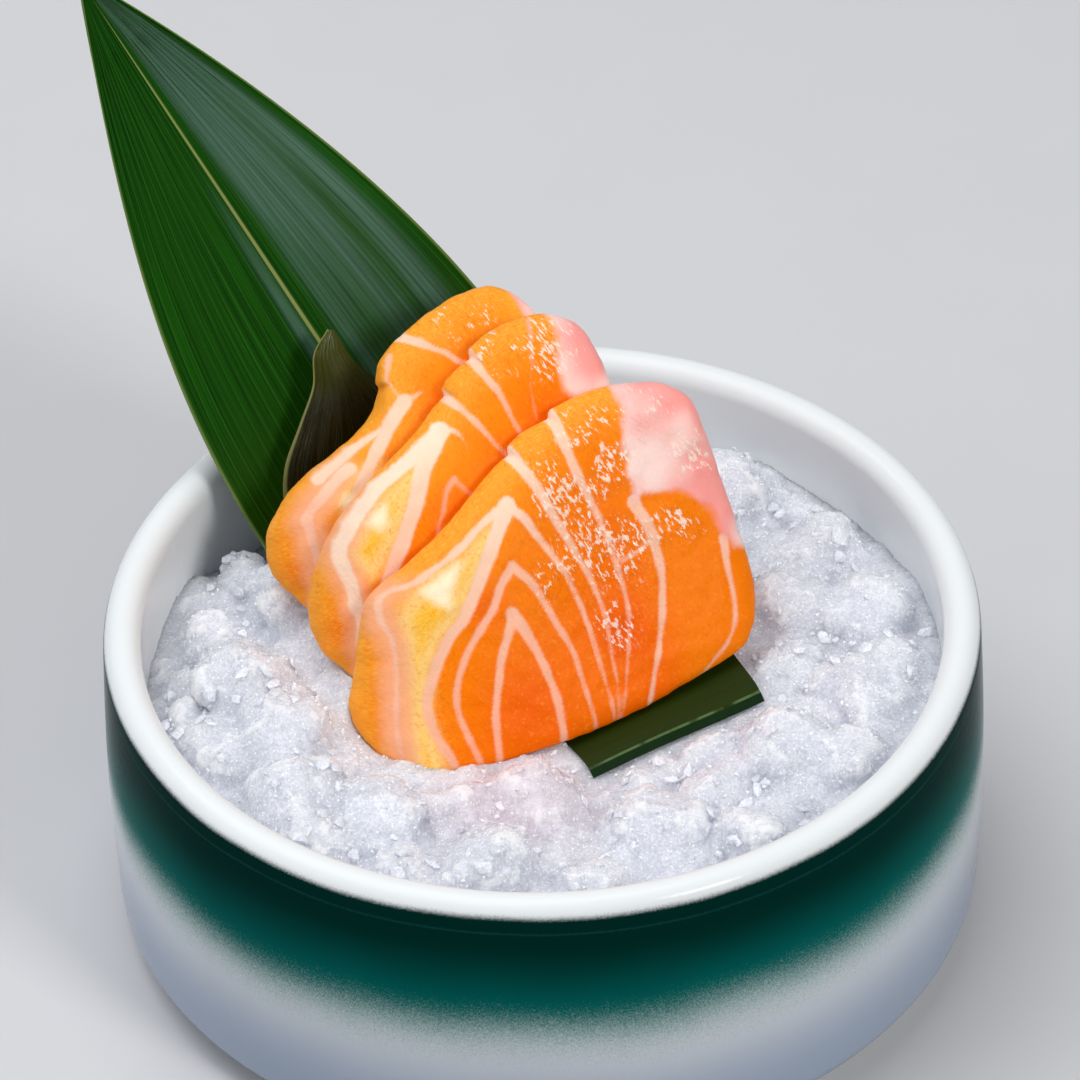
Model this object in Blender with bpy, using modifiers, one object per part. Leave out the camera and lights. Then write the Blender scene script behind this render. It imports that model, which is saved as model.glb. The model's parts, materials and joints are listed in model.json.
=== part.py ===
# Salmon sashimi on crushed ice in a straight-walled glazed bowl, with a tall leaf behind it.
# The frame: metres, +Z up, the origin at the middle of the bowl's flat foot, -Y towards the front.
import math
import random

import bmesh
import bpy
from mathutils import Matrix, Vector, noise
from mathutils.bvhtree import BVHTree

MM = 0.001
COLLECTION_NAME = "sashimi_bowl"

# Bowl, in millimetres
RIM_RADIUS = 75.0
BOWL_HEIGHT = 60.0
WALL = 6.5
BELLY = 0.65
FOOT_RADIUS = 60.5
CORNER_HEIGHT = 7.5
CORNER_WIDTH = RIM_RADIUS - FOOT_RADIUS
FLOOR_THICKNESS = 7.0
INNER_CORNER = 6.0
BOWL_STEPS = 52

# Gap kept between pieces that touch
GAP = 0.4

# Salmon: three neighbouring cuts that lean back on one another
SLICE_THICKNESS = 8.4
SLICE_SPACING = SLICE_THICKNESS + GAP
STACK_FOOT = Vector((9.0, -19.5, 49.0))
STACK_TURN = math.radians(20)
STACK_LEAN = math.radians(40)
SIDE_BEND_START = -10.0
SIDE_BEND_RADIUS = 38.0
TOP_BEND_START = 40.0
TOP_BEND_RADIUS = 110.0
CAGE_ACROSS = 9
CAGE_UP = 6
ROLLED_EDGE = 2.6
ROLLED_SHARE = 0.75
CUT_EDGE = 0.7

# Each slice's outline in the stack's own plane: across, and up the slope from the stack's foot
SLICES = {
    "salmon_front": {
        "left": [(-35, 3), (-38, 11), (-35, 21), (-31, 33)],
        "top": [(-31, 33), (-21.5, 37), (-11.5, 43.5), (-3.5, 50.5), (6, 55.5), (17, 57.5), (27, 56), (32.5, 53)],
        "right": [(31, 6), (35, 14), (34.5, 27), (33.5, 40), (32.5, 53)],
        "bottom": [(-35, 3), (-27, -2.5), (-12, -2.5), (4, -1.5), (20, 2.5), (31, 6)],
    },
    "salmon_middle": {
        "left": [(-33, 16), (-38, 24), (-37.5, 34), (-33, 42.5)],
        "top": [(-33, 42.5), (-25.5, 50.5), (-14, 57), (-8, 63.5), (-1.5, 69), (8, 72.5), (16, 72), (20.5, 68)],
        "right": [(20, 12), (23, 26), (23, 42), (22, 56), (20.5, 68)],
        "bottom": [(-33, 16), (-26, 11), (-12, 7), (2, 6), (12, 8), (20, 12)],
    },
    "salmon_back": {
        "left": [(-35, 29), (-40, 37), (-39.5, 46), (-33.5, 53.5)],
        "top": [(-33.5, 53.5), (-25.5, 57.5), (-16.5, 62.5), (-15, 70.5), (-7.5, 75), (2, 78.5), (10, 79.5), (15, 73)],
        "right": [(13, 24), (17, 38), (18, 50), (17, 62), (15, 73)],
        "bottom": [(-35, 29), (-28, 23), (-18, 20), (-6, 19), (4, 20), (13, 24)],
    },
}

# Tall leaf: a plane behind the stack, with the midrib running from the ice to the tip
LEAF_THICKNESS = 0.7
TALL_FOOT = Vector((-46.5, 29.0, 48.5))
TALL_TURN = math.radians(26)
TALL_LEAN = math.radians(30)
TALL_BASE = (36.0, -14.0)
TALL_TIP = (-6.5, 108.5)
TALL_HALF_WIDTH = 29.4
TALL_WIDEST = 0.2
TALL_TAPER = 1.8
TALL_FOLD = 2.6
TALL_WAVE = 0.9
TALL_WAVES = 1.25
TALL_BASE_SHARE = 0.6
TALL_ALONG = 14
TALL_ACROSS = 6

# Dark leaf: a small cupped one that stands between the stack and the tall leaf
DARK_FOOT = Vector((-44.5, 28.0, 54.0))
DARK_TURN = math.radians(24)
DARK_LEAN = math.radians(26)
DARK_LEFT = [(2, -7), (1.5, 4), (3, 12), (7.5, 19), (11.5, 25), (13, 30.5), (16.5, 34)]
DARK_RIGHT = [(32, -7), (33, 6), (30, 16), (25, 21), (20, 27), (17.5, 33.5)]
DARK_CUP = 3.5
DARK_ALONG = 8
DARK_ACROSS = 6

# Leaf strip: a cut leaf laid on the ice under the front slice's lower edge
STRIP_START = Vector((8.0, -27.0, 47.3))
STRIP_END = Vector((37.5, -12.3, 50.8))
STRIP_WIDTH = 13.0
STRIP_RISE = (-1.3, 0.7)
STRIP_CURL = 1.4
STRIP_ALONG = 9
STRIP_ACROSS = 4

# Ice: levels of the bare core at places across the bowl, x, y and height
ICE_RADIUS = 67.9
ICE_LEVELS = [
    (0, -60, 49), (-34, -50, 48), (-58, -22, 46), (-60, 8, 42), (-44, 44, 36), (-14, 62, 42),
    (22, 60, 44), (50, 40, 45), (64, 8, 48), (56, -30, 49), (28, -50, 49), (10, -34, 46),
    (42, -8, 48), (-34, -28, 48), (-45, -4, 49), (-26, 0, 54), (0, 10, 60), (-16, 40, 69),
    (2, 36, 68), (18, 24, 58), (-36, 26, 54), (-26, 50, 52), (28, 14, 48),
]
ICE_RINGS = 12
ICE_SECTORS = 40
LEVEL_SOFTNESS = 30.0
ICE_RUGGED = 1.3
RUGGED_SCALE = 0.16
CORE_BITE = 1.2
CORE_BOTTOM = FLOOR_THICKNESS + GAP
# The clumps that stand out, x, y and width
ICE_CLUMPS = [
    (-51, -3, 18), (-44, -17, 20), (-43, -32, 17), (-28, -38, 18), (-3, -37, 21), (-10, -52, 17),
    (18, -43, 18), (42, -26, 21), (29, -34, 14), (54, -10, 18), (57, 12, 17), (43, 12, 16),
    (49, 31, 18), (33, 45, 17), (-58, -20, 15), (-24, -54, 16), (7, -58, 15), (35, -49, 16),
    (53, -30, 15), (-57, 14, 13), (17, 56, 15), (-42, -47, 14), (42, -3, 14), (30, 28, 14),
    (-60, 0, 12), (-14, -37, 13), (62, -2, 12),
]
MEDIUM_CLUMPS = 12
MEDIUM_CLUMP_WIDTH = (10.0, 13.0)
SMALL_CLUMPS = 34
SMALL_CLUMP_WIDTH = (5.5, 9.0)
CLUMP_SPACING = 0.42
MAX_TRIES = 4000
CLUMP_STEP_BACK = 1.5
CLUMP_STEPS = 4
CLUMP_SQUASH = 0.72
CLUMP_ROUGH = 0.22
CLUMP_REACH = 0.62
SEED = 11


def addMaterial(name, colour, roughness, metallic=0.0):
    """One Principled material in the piece's own colour."""
    material = bpy.data.materials.new(name)
    material.use_nodes = True
    shader = material.node_tree.nodes["Principled BSDF"]
    shader.inputs["Base Color"].default_value = (*colour, 1.0)
    shader.inputs["Roughness"].default_value = roughness
    shader.inputs["Metallic"].default_value = metallic
    return material


def addObject(name, bm, material, collection):
    """An object of the mesh being built, placed in millimetres and stored in metres."""
    bmesh.ops.scale(bm, vec=Vector((MM, MM, MM)), verts=bm.verts)
    mesh = bpy.data.meshes.new(name)
    bm.to_mesh(mesh)
    bm.free()
    obj = bpy.data.objects.new(name, mesh)
    obj.data.materials.append(material)
    collection.objects.link(obj)
    return obj


def addModifier(obj, kind, **settings):
    modifier = obj.modifiers.new(kind.title(), kind)
    for setting, value in settings.items():
        setattr(modifier, setting, value)
    return modifier


def applyModifiers(obj):
    """The object's mesh with its modifiers made real."""
    bpy.context.view_layer.update()
    evaluated = obj.evaluated_get(bpy.context.evaluated_depsgraph_get())
    mesh = bpy.data.meshes.new_from_object(evaluated)
    obj.modifiers.clear()
    obj.data = mesh


def arc(centre, radii, start, end, steps):
    """Points of an elliptic arc; angles in degrees, anticlockwise from +X."""
    points = []
    for step in range(steps + 1):
        angle = math.radians(start + (end - start) * step / steps)
        points.append((centre[0] + radii[0] * math.cos(angle), centre[1] + radii[1] * math.sin(angle)))
    return points


def alongPoints(points, t):
    """A smooth curve through the points, t from 0 to 1, by equal shares of its chord length."""
    vectors = [Vector(point) for point in points]
    lengths = [(b - a).length for a, b in zip(vectors, vectors[1:])]
    target = t * sum(lengths)
    index = 0
    while index < len(lengths) - 1 and target > lengths[index]:
        target -= lengths[index]
        index += 1
    local = min(1.0, target / lengths[index])
    p1, p2 = vectors[index], vectors[index + 1]
    p0 = vectors[index - 1] if index > 0 else p1 * 2 - p2
    p3 = vectors[index + 2] if index + 2 < len(vectors) else p2 * 2 - p1
    return 0.5 * (2 * p1 + (p2 - p0) * local + (2 * p0 - 5 * p1 + 4 * p2 - p3) * local**2
                  + (3 * p1 - p0 - 3 * p2 + p3) * local**3)


def planeAxes(turn, lean):
    """Across, up the slope and out of a plane turned about Z and leaning back."""
    across = Vector((math.cos(turn), math.sin(turn), 0))
    level = Vector((math.sin(turn), -math.cos(turn), 0))
    slope = Vector((0, 0, 1)) * math.cos(lean) - level * math.sin(lean)
    return across, slope, across.cross(slope)


def patchPoint(left, right, bottom, top, i, j):
    """A point inside four edge curves that share their corners."""
    sides = (1 - i) * alongPoints(left, j) + i * alongPoints(right, j)
    ends = (1 - j) * alongPoints(bottom, i) + j * alongPoints(top, i)
    corners = ((1 - i) * (1 - j) * Vector(bottom[0]) + i * (1 - j) * Vector(bottom[-1])
               + (1 - i) * j * Vector(top[0]) + i * j * Vector(top[-1]))
    return sides + ends - corners


def makeBowl(collection):
    """The bowl, turned from one profile: rim, outer wall, foot, then inside from floor to rim."""
    lip = WALL / 2
    inner = RIM_RADIUS - WALL
    wallTop = BOWL_HEIGHT - lip
    profile = arc((RIM_RADIUS - lip, wallTop), (lip, lip), 90, 0, 4)
    wallSteps = 4
    for step in range(1, wallSteps):
        share = step / wallSteps
        height = wallTop + (CORNER_HEIGHT - wallTop) * share
        profile.append((RIM_RADIUS + BELLY * math.sin(math.pi * share), height))
    profile += arc((FOOT_RADIUS, CORNER_HEIGHT), (CORNER_WIDTH, CORNER_HEIGHT), 0, -90, 5)
    profile.append((0, 0))
    inside = [(0, FLOOR_THICKNESS)]
    inside += arc((inner - INNER_CORNER, FLOOR_THICKNESS + INNER_CORNER), (INNER_CORNER, INNER_CORNER), -90, 0, 3)
    inside += arc((RIM_RADIUS - lip, wallTop), (lip, lip), 180, 90, 4)
    bm = bmesh.new()
    verts = [bm.verts.new((x, 0, z)) for x, z in profile + inside[:-1]]
    for a, b in zip(verts, verts[1:]):
        if a.co.x > 0 or b.co.x > 0:
            bm.edges.new((a, b))
    bm.edges.new((verts[-1], verts[0]))
    material = addMaterial("glaze", (0.86, 0.88, 0.88), 0.15)
    bowl = addObject("bowl", bm, material, collection)
    addModifier(bowl, "SCREW", angle=math.tau, steps=BOWL_STEPS, render_steps=BOWL_STEPS,
                use_merge_vertices=True, merge_threshold=0.00005, use_normal_calculate=True)
    return bowl


def stackBend(across, up):
    """How far the stack's planes fall back where the fish droops at its left and at its top."""
    side = max(0.0, SIDE_BEND_START - across)
    top = max(0.0, up - TOP_BEND_START)
    return side**2 / (2 * SIDE_BEND_RADIUS) + top**2 / (2 * TOP_BEND_RADIUS)


def makeSlice(name, outline, depth, collection):
    """One slice: a cage with a front and a back face, rounded by Subdivision Surface."""
    acrossAxis, upAxis, outAxis = planeAxes(STACK_TURN, STACK_LEAN)
    bm = bmesh.new()
    bmesh.ops.create_grid(bm, x_segments=CAGE_ACROSS, y_segments=CAGE_UP, size=0.5)
    fronts = list(bm.verts)
    shares = {vert: (vert.co.x + 0.5, vert.co.y + 0.5) for vert in fronts}
    extruded = bmesh.ops.extrude_face_region(bm, geom=list(bm.faces))
    backs = [item for item in extruded["geom"] if isinstance(item, bmesh.types.BMVert)]
    byShare = {(round(i, 4), round(j, 4)): vert for vert, (i, j) in shares.items()}
    backShares = {vert: shares[byShare[(round(vert.co.x + 0.5, 4), round(vert.co.y + 0.5, 4))]] for vert in backs}
    nearEdge = 0.5 / CAGE_ACROSS
    for layer, members in ((0, shares), (1, backShares)):
        for vert, (i, j) in members.items():
            spot = patchPoint(outline["left"], outline["right"], outline["bottom"], outline["top"], i, j)
            into = SLICE_THICKNESS * layer
            if layer == 1:
                spot.y += SLICE_THICKNESS * math.tan(STACK_LEAN) * (1 - j)**2
            else:
                rolled = i < nearEdge or (j > 1 - nearEdge and i < ROLLED_SHARE)
                cut = i > 1 - nearEdge or j < nearEdge or j > 1 - nearEdge
                into = ROLLED_EDGE if rolled else CUT_EDGE if cut else 0.0
            into += depth + stackBend(spot.x, spot.y)
            vert.co = STACK_FOOT + acrossAxis * spot.x + upAxis * spot.y - outAxis * into
    bmesh.ops.recalc_face_normals(bm, faces=bm.faces)
    material = addMaterial(name + "_flesh", (0.9, 0.30, 0.05), 0.3)
    piece = addObject(name, bm, material, collection)
    addModifier(piece, "SUBSURF", levels=1, render_levels=1)
    return piece


def makeLeafSheet(name, point, along, across, colour, collection):
    """A thin solid from a sheet of points; both faces are split into triangles alike."""
    bm = bmesh.new()
    bmesh.ops.create_grid(bm, x_segments=across, y_segments=along, size=0.5)
    for vert in bm.verts:
        vert.co = point(vert.co.x + 0.5, vert.co.y + 0.5)
    bmesh.ops.triangulate(bm, faces=bm.faces)
    piece = addObject(name, bm, addMaterial(name + "_blade", colour, 0.4), collection)
    addModifier(piece, "SOLIDIFY", thickness=LEAF_THICKNESS * MM, offset=0.0)
    return piece


def tallLeafPoint(i, j):
    """The tall leaf at i across it and j from its foot to its tip."""
    across, up, out = planeAxes(TALL_TURN, TALL_LEAN)
    base, tip = Vector(TALL_BASE), Vector(TALL_TIP)
    rib = (tip - base).normalized()
    side = Vector((rib.y, -rib.x))
    past = max(0.0, (j - TALL_WIDEST) / (1 - TALL_WIDEST))
    half = TALL_HALF_WIDTH * min(1.0, TALL_BASE_SHARE + 2 * j) * max(0.02, 1 - past**TALL_TAPER)
    offset = half * (2 * i - 1)
    spot = base + (tip - base) * j + side * offset
    fold = TALL_FOLD * (1 - abs(2 * i - 1)) * (1 - 0.5 * j)
    wave = TALL_WAVE * math.sin(math.tau * TALL_WAVES * j + 2 * (2 * i - 1)) * abs(2 * i - 1)
    return TALL_FOOT + across * spot.x + up * spot.y - out * (fold + wave)


def darkLeafPoint(i, j):
    """The dark leaf: cupped towards the front, narrowing to a point."""
    across, up, out = planeAxes(DARK_TURN, DARK_LEAN)
    spot = alongPoints(DARK_LEFT, j) * (1 - i) + alongPoints(DARK_RIGHT, j) * i
    cup = DARK_CUP * (1 - (2 * i - 1)**2) * (1 - j**2)
    return DARK_FOOT + across * spot.x + up * spot.y + out * cup


def stripPoint(i, j):
    """The leaf strip: it runs along the front slice's lower edge and tucks in under it."""
    run = STRIP_END - STRIP_START
    inward = Vector((-run.y, run.x, 0)).normalized()
    rise = STRIP_RISE[0] + (STRIP_RISE[1] - STRIP_RISE[0]) * j
    curl = STRIP_CURL * max(0.0, 1 - 3 * i)**2
    return STRIP_START + run * j + inward * STRIP_WIDTH * i + Vector((0, 0, rise * i - curl))


def coreLevel(x, y):
    """Height of the bare core, smoothed between the named places."""
    total = 0.0
    weights = 0.0
    for px, py, level in ICE_LEVELS:
        weight = 1.0 / ((x - px)**2 + (y - py)**2 + LEVEL_SOFTNESS)**2
        total += level * weight
        weights += weight
    rugged = ICE_RUGGED * noise.noise(Vector((x, y, SEED)) * RUGGED_SCALE)
    return total / weights + rugged


def solidTree(obj):
    """A search tree over an object's evaluated mesh, in metres."""
    evaluated = obj.evaluated_get(bpy.context.evaluated_depsgraph_get())
    bm = bmesh.new()
    bm.from_mesh(evaluated.to_mesh())
    tree = BVHTree.FromBMesh(bm)
    bm.free()
    evaluated.to_mesh_clear()
    return tree


def supportLevel(x, y, level, trees):
    """The core's height, kept to just inside whatever lies above this place."""
    for tree in trees:
        start = Vector((x, y, CORE_BOTTOM)) * MM
        hit = tree.ray_cast(start, Vector((0, 0, 1)))[0]
        if hit is not None:
            level = min(level, hit.z / MM + CORE_BITE)
    return level


def makeCore(trees, collection):
    """The ice's core: a round body with the bowl's inner corner and an uneven top."""
    bm = bmesh.new()
    inner = ICE_RADIUS - INNER_CORNER
    below = [(inner, CORE_BOTTOM)] + arc((inner, CORE_BOTTOM + INNER_CORNER), (INNER_CORNER,) * 2, -45, 0, 1)
    rings = []
    for radius, height in below:
        rings.append([bm.verts.new(ringSpot(radius, sector, height)) for sector in range(ICE_SECTORS)])
    for ring in range(ICE_RINGS, 0, -1):
        radius = ICE_RADIUS * ring / ICE_RINGS
        verts = []
        for sector in range(ICE_SECTORS):
            spot = ringSpot(radius, sector + 0.5 * (ring % 2), 0)
            spot.z = supportLevel(spot.x, spot.y, coreLevel(spot.x, spot.y), trees)
            verts.append(bm.verts.new(spot))
        rings.append(verts)
    for low, high in zip(rings, rings[1:]):
        for sector in range(ICE_SECTORS):
            after = (sector + 1) % ICE_SECTORS
            bm.faces.new((low[sector], low[after], high[after], high[sector]))
    top = bm.verts.new((0, 0, supportLevel(0, 0, coreLevel(0, 0), trees)))
    bottom = bm.verts.new((0, 0, CORE_BOTTOM))
    for sector in range(ICE_SECTORS):
        after = (sector + 1) % ICE_SECTORS
        bm.faces.new((rings[-1][sector], rings[-1][after], top))
        bm.faces.new((rings[0][after], rings[0][sector], bottom))
    bmesh.ops.triangulate(bm, faces=bm.faces)
    bmesh.ops.recalc_face_normals(bm, faces=bm.faces)
    return addObject("ice", bm, addMaterial("ice_core", (0.80, 0.81, 0.85), 0.25), collection)


def ringSpot(radius, sector, height):
    angle = math.tau * sector / ICE_SECTORS
    return Vector((radius * math.cos(angle), radius * math.sin(angle), height))


def makeClump(index, place, width, fine, draw, collection):
    """One clump of ice: a squashed, turned lump with an uneven surface."""
    bm = bmesh.new()
    bmesh.ops.create_icosphere(bm, subdivisions=2 if fine else 1, radius=0.5)
    for vert in bm.verts:
        vert.co *= 1 + CLUMP_ROUGH * draw.uniform(-1, 1)
    stretch = Vector((width * draw.uniform(0.95, 1.2), width * draw.uniform(0.8, 1.0), width * CLUMP_SQUASH))
    turn = Matrix.Rotation(draw.uniform(0, math.tau), 4, "Z") @ Matrix.Rotation(draw.uniform(-0.35, 0.35), 4, "X")
    bmesh.ops.transform(bm, matrix=Matrix.Translation(place) @ turn @ Matrix.Diagonal(stretch).to_4x4(),
                        verts=bm.verts)
    bmesh.ops.recalc_face_normals(bm, faces=bm.faces)
    return addObject("clump_%03d" % index, bm, bpy.data.materials["ice_core"], collection)


def clumpPlaces(draw):
    """The clumps that stand out, then smaller ones in the room that is left between them."""
    places = [(Vector((x, y)), width, True) for x, y, width in ICE_CLUMPS]
    for wanted, widths, fine in ((MEDIUM_CLUMPS, MEDIUM_CLUMP_WIDTH, True),
                                 (SMALL_CLUMPS, SMALL_CLUMP_WIDTH, False)):
        target = len(places) + wanted
        for attempt in range(MAX_TRIES):
            if len(places) == target:
                break
            width = draw.uniform(*widths)
            radius = (ICE_RADIUS - width / 2) * math.sqrt(draw.random())
            angle = draw.uniform(0, math.tau)
            spot = Vector((radius * math.cos(angle), radius * math.sin(angle)))
            if all((spot - place).length > CLUMP_SPACING * (width + other) for place, other, kind in places):
                places.append((spot, width, fine))
    return places


def isClear(obj, trees, clearance):
    """Whether the lump crosses none of the other pieces and its points keep the clearance."""
    lump = solidTree(obj)
    for tree in trees:
        if lump.overlap(tree):
            return False
        for vert in obj.data.vertices:
            if tree.find_nearest(vert.co, clearance * MM)[0] is not None:
                return False
    return True


def stepsClear(clump, spot, trees):
    """Moves a lump outwards in a few steps until it clears the fish and the leaves."""
    away = Vector((spot.x, spot.y, 0)).normalized() * CLUMP_STEP_BACK * MM
    for step in range(CLUMP_STEPS):
        if isClear(clump, trees, GAP + 0.1):
            return True
        for vert in clump.data.vertices:
            vert.co += away
        bpy.context.view_layer.update()
    return False


def keepLargestBody(obj):
    """Drops loose scraps that the cuts left."""
    bm = bmesh.new()
    bm.from_mesh(obj.data)
    unseen = set(bm.verts)
    bodies = []
    while unseen:
        body = set()
        front = [unseen.pop()]
        while front:
            vert = front.pop()
            body.add(vert)
            for edge in vert.link_edges:
                other = edge.other_vert(vert)
                if other in unseen:
                    unseen.discard(other)
                    front.append(other)
        bodies.append(body)
    bodies.sort(key=len, reverse=True)
    scraps = [vert for body in bodies[1:] for vert in body]
    bmesh.ops.delete(bm, geom=scraps, context="VERTS")
    bm.to_mesh(obj.data)
    bm.free()


def swollenCopy(obj, collection):
    """A cutter: the piece grown by the gap all round."""
    evaluated = obj.evaluated_get(bpy.context.evaluated_depsgraph_get())
    mesh = bpy.data.meshes.new_from_object(evaluated)
    bm = bmesh.new()
    bm.from_mesh(mesh)
    bmesh.ops.triangulate(bm, faces=bm.faces)
    bm.normal_update()
    moves = {vert: vert.normal * vert.calc_shell_factor() * GAP * MM for vert in bm.verts}
    for vert, move in moves.items():
        vert.co += move
    bm.to_mesh(mesh)
    bm.free()
    cutter = bpy.data.objects.new(obj.name + "_cutter", mesh)
    cutter.hide_render = True
    cutter.display_type = "WIRE"
    collection.objects.link(cutter)
    return cutter


def removeAll(collection):
    for obj in list(collection.objects):
        bpy.data.objects.remove(obj, do_unlink=True)


def makeIce(bowl, neighbours, collection):
    """The ice: the core with its clumps fused on, cut back to clear the fish and the leaves."""
    draw = random.Random(SEED)
    bpy.context.view_layer.update()
    trees = [solidTree(piece) for piece in neighbours]
    bowlTree = solidTree(bowl)
    core = makeCore(trees, collection)
    clumps = bpy.data.collections.new("clumps")
    bpy.context.scene.collection.children.link(clumps)
    for index, (spot, width, fine) in enumerate(clumpPlaces(draw)):
        reach = ICE_RADIUS - CLUMP_REACH * width
        if spot.length > reach:
            spot = spot * (reach / spot.length)
        place = Vector((spot.x, spot.y, coreLevel(spot.x, spot.y)))
        clump = makeClump(index, place, width, fine, draw, clumps)
        if not stepsClear(clump, spot, [bowlTree] + trees):
            bpy.data.objects.remove(clump, do_unlink=True)
    addModifier(core, "BOOLEAN", operation="UNION", operand_type="COLLECTION", collection=clumps, solver="EXACT")
    applyModifiers(core)
    removeAll(clumps)
    cutters = bpy.data.collections.new("cutters")
    bpy.context.scene.collection.children.link(cutters)
    for piece in neighbours:
        cutter = swollenCopy(piece, cutters)
        addModifier(core, "BOOLEAN", operation="DIFFERENCE", object=cutter, solver="EXACT")
    applyModifiers(core)
    removeAll(cutters)
    keepLargestBody(core)
    return core


def main():
    for obj in list(bpy.data.objects):
        bpy.data.objects.remove(obj, do_unlink=True)
    parts = bpy.data.collections.new(COLLECTION_NAME)
    bpy.context.scene.collection.children.link(parts)
    bowl = makeBowl(parts)
    pieces = []
    for order, (name, outline) in enumerate(SLICES.items()):
        pieces.append(makeSlice(name, outline, order * SLICE_SPACING, parts))
    pieces.append(makeLeafSheet("leaf_tall", tallLeafPoint, TALL_ALONG, TALL_ACROSS, (0.02, 0.10, 0.02), parts))
    pieces.append(makeLeafSheet("leaf_dark", darkLeafPoint, DARK_ALONG, DARK_ACROSS, (0.02, 0.025, 0.005), parts))
    pieces.append(makeLeafSheet("leaf_strip", stripPoint, STRIP_ALONG, STRIP_ACROSS, (0.02, 0.05, 0.01), parts))
    makeIce(bowl, pieces, parts)


main()
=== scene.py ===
import json
import math

import bmesh
import bpy
import numpy as np
from mathutils import Matrix, Vector, noise
from mathutils.bvhtree import BVHTree
from mathutils.kdtree import KDTree

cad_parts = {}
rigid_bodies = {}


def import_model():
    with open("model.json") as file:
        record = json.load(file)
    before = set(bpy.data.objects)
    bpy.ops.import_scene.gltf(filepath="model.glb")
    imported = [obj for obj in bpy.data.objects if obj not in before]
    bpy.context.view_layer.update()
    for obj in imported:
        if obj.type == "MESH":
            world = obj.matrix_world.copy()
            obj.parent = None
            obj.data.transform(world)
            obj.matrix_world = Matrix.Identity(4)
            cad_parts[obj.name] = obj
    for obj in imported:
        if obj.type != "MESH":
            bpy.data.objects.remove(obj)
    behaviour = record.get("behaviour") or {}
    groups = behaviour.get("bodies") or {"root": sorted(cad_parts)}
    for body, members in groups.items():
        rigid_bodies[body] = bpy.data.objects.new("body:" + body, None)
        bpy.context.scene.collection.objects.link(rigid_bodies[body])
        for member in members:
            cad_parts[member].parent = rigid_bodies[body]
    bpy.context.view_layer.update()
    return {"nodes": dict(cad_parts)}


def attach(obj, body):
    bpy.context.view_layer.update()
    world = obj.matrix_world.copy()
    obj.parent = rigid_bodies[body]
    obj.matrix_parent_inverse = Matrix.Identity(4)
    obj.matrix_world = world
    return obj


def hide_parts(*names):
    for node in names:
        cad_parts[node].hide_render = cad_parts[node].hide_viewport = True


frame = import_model()
mm = 0.001


# small helpers
def startObjectMode():
    if bpy.context.object and bpy.context.object.mode != "OBJECT":
        bpy.ops.object.mode_set(mode="OBJECT")
    bpy.ops.object.select_all(action="DESELECT")


def makeActive(obj):
    startObjectMode()
    obj.select_set(True)
    bpy.context.view_layer.objects.active = obj


def applyAll(obj):
    makeActive(obj)
    for modifier in list(obj.modifiers):
        bpy.ops.object.modifier_apply(modifier=modifier.name)


def smoothShade(obj, angle=None):
    makeActive(obj)
    if angle is None:
        bpy.ops.object.shade_smooth()
    else:
        bpy.ops.object.shade_smooth_by_angle(angle=math.radians(angle))


def objectFromArrays(name, verts, faces):
    mesh = bpy.data.meshes.new(name)
    mesh.from_pydata([tuple(v) for v in verts], [], faces)
    mesh.update()
    obj = bpy.data.objects.new(name, mesh)
    bpy.context.scene.collection.objects.link(obj)
    return obj


def cadCopy(node, name):
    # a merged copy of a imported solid, with its transform made real
    source = frame["nodes"][node]
    mesh = source.data.copy()
    mesh.transform(source.matrix_world)
    mesh.materials.clear()
    bm = bmesh.new()
    bm.from_mesh(mesh)
    bmesh.ops.remove_doubles(bm, verts=bm.verts, dist=1e-6)
    bm.to_mesh(mesh)
    bm.free()
    obj = bpy.data.objects.new(name, mesh)
    bpy.context.scene.collection.objects.link(obj)
    return obj


def vertexArray(obj):
    out = np.empty(len(obj.data.vertices) * 3)
    obj.data.vertices.foreach_get("co", out)
    return out.reshape(-1, 3)


def normalArray(obj):
    out = np.empty(len(obj.data.vertices) * 3)
    obj.data.vertices.foreach_get("normal", out)
    return out.reshape(-1, 3)


def putVertices(obj, points):
    obj.data.vertices.foreach_set("co", np.ascontiguousarray(points, dtype=float).ravel())
    obj.data.update()


def floatAttribute(obj, name, values):
    layer = obj.data.attributes.new(name, "FLOAT", "POINT")
    layer.data.foreach_set("value", np.ascontiguousarray(values, dtype=np.float32))


def inFixedOrder(obj):
    # edit-mode tools number a mesh anew on each run, so its points and faces are sorted by place
    old = obj.data
    points = vertexArray(obj)
    order = np.lexsort(points.T)
    rank = np.argsort(order)
    faces = []
    for face in old.polygons:
        corners, loops = [int(rank[index]) for index in face.vertices], list(face.loop_indices)
        first = corners.index(min(corners))
        faces.append((corners[first:] + corners[:first], loops[first:] + loops[:first]))
    faces.sort()
    flat = np.empty(len(old.loops) * 2, dtype=np.float32)
    old.uv_layers[0].data.foreach_get("uv", flat)
    mesh = bpy.data.meshes.new(obj.name)
    mesh.from_pydata([tuple(point) for point in points[order]], [], [corners for corners, loops in faces])
    kept = flat.reshape(-1, 2)[[loop for corners, loops in faces for loop in loops]]
    mesh.uv_layers.new(name=old.uv_layers[0].name).data.foreach_set("uv", kept.ravel())
    obj.data = mesh
    bpy.data.meshes.remove(old)


def finishPiece(obj, material, slotName, *nodes):
    obj.data.materials.clear()
    obj.data.materials.append(material)
    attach(obj, "root")
    if nodes:
        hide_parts(*nodes)


# shader helpers
def srgb(r, g, b):
    # a colour as read off a screen, 0 to 255, made linear
    return [((c / 255 + 0.055) / 1.055) ** 2.4 if c > 10 else c / 255 / 12.92 for c in (r, g, b)] + [1.0]


def newMaterial(name):
    material = bpy.data.materials.new(name)
    material.use_nodes = True
    tree = material.node_tree
    return material, tree, tree.nodes["Principled BSDF"]


def put(tree, socket, value):
    if isinstance(value, bpy.types.NodeSocket):
        tree.links.new(value, socket)
    else:
        socket.default_value = value


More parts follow.
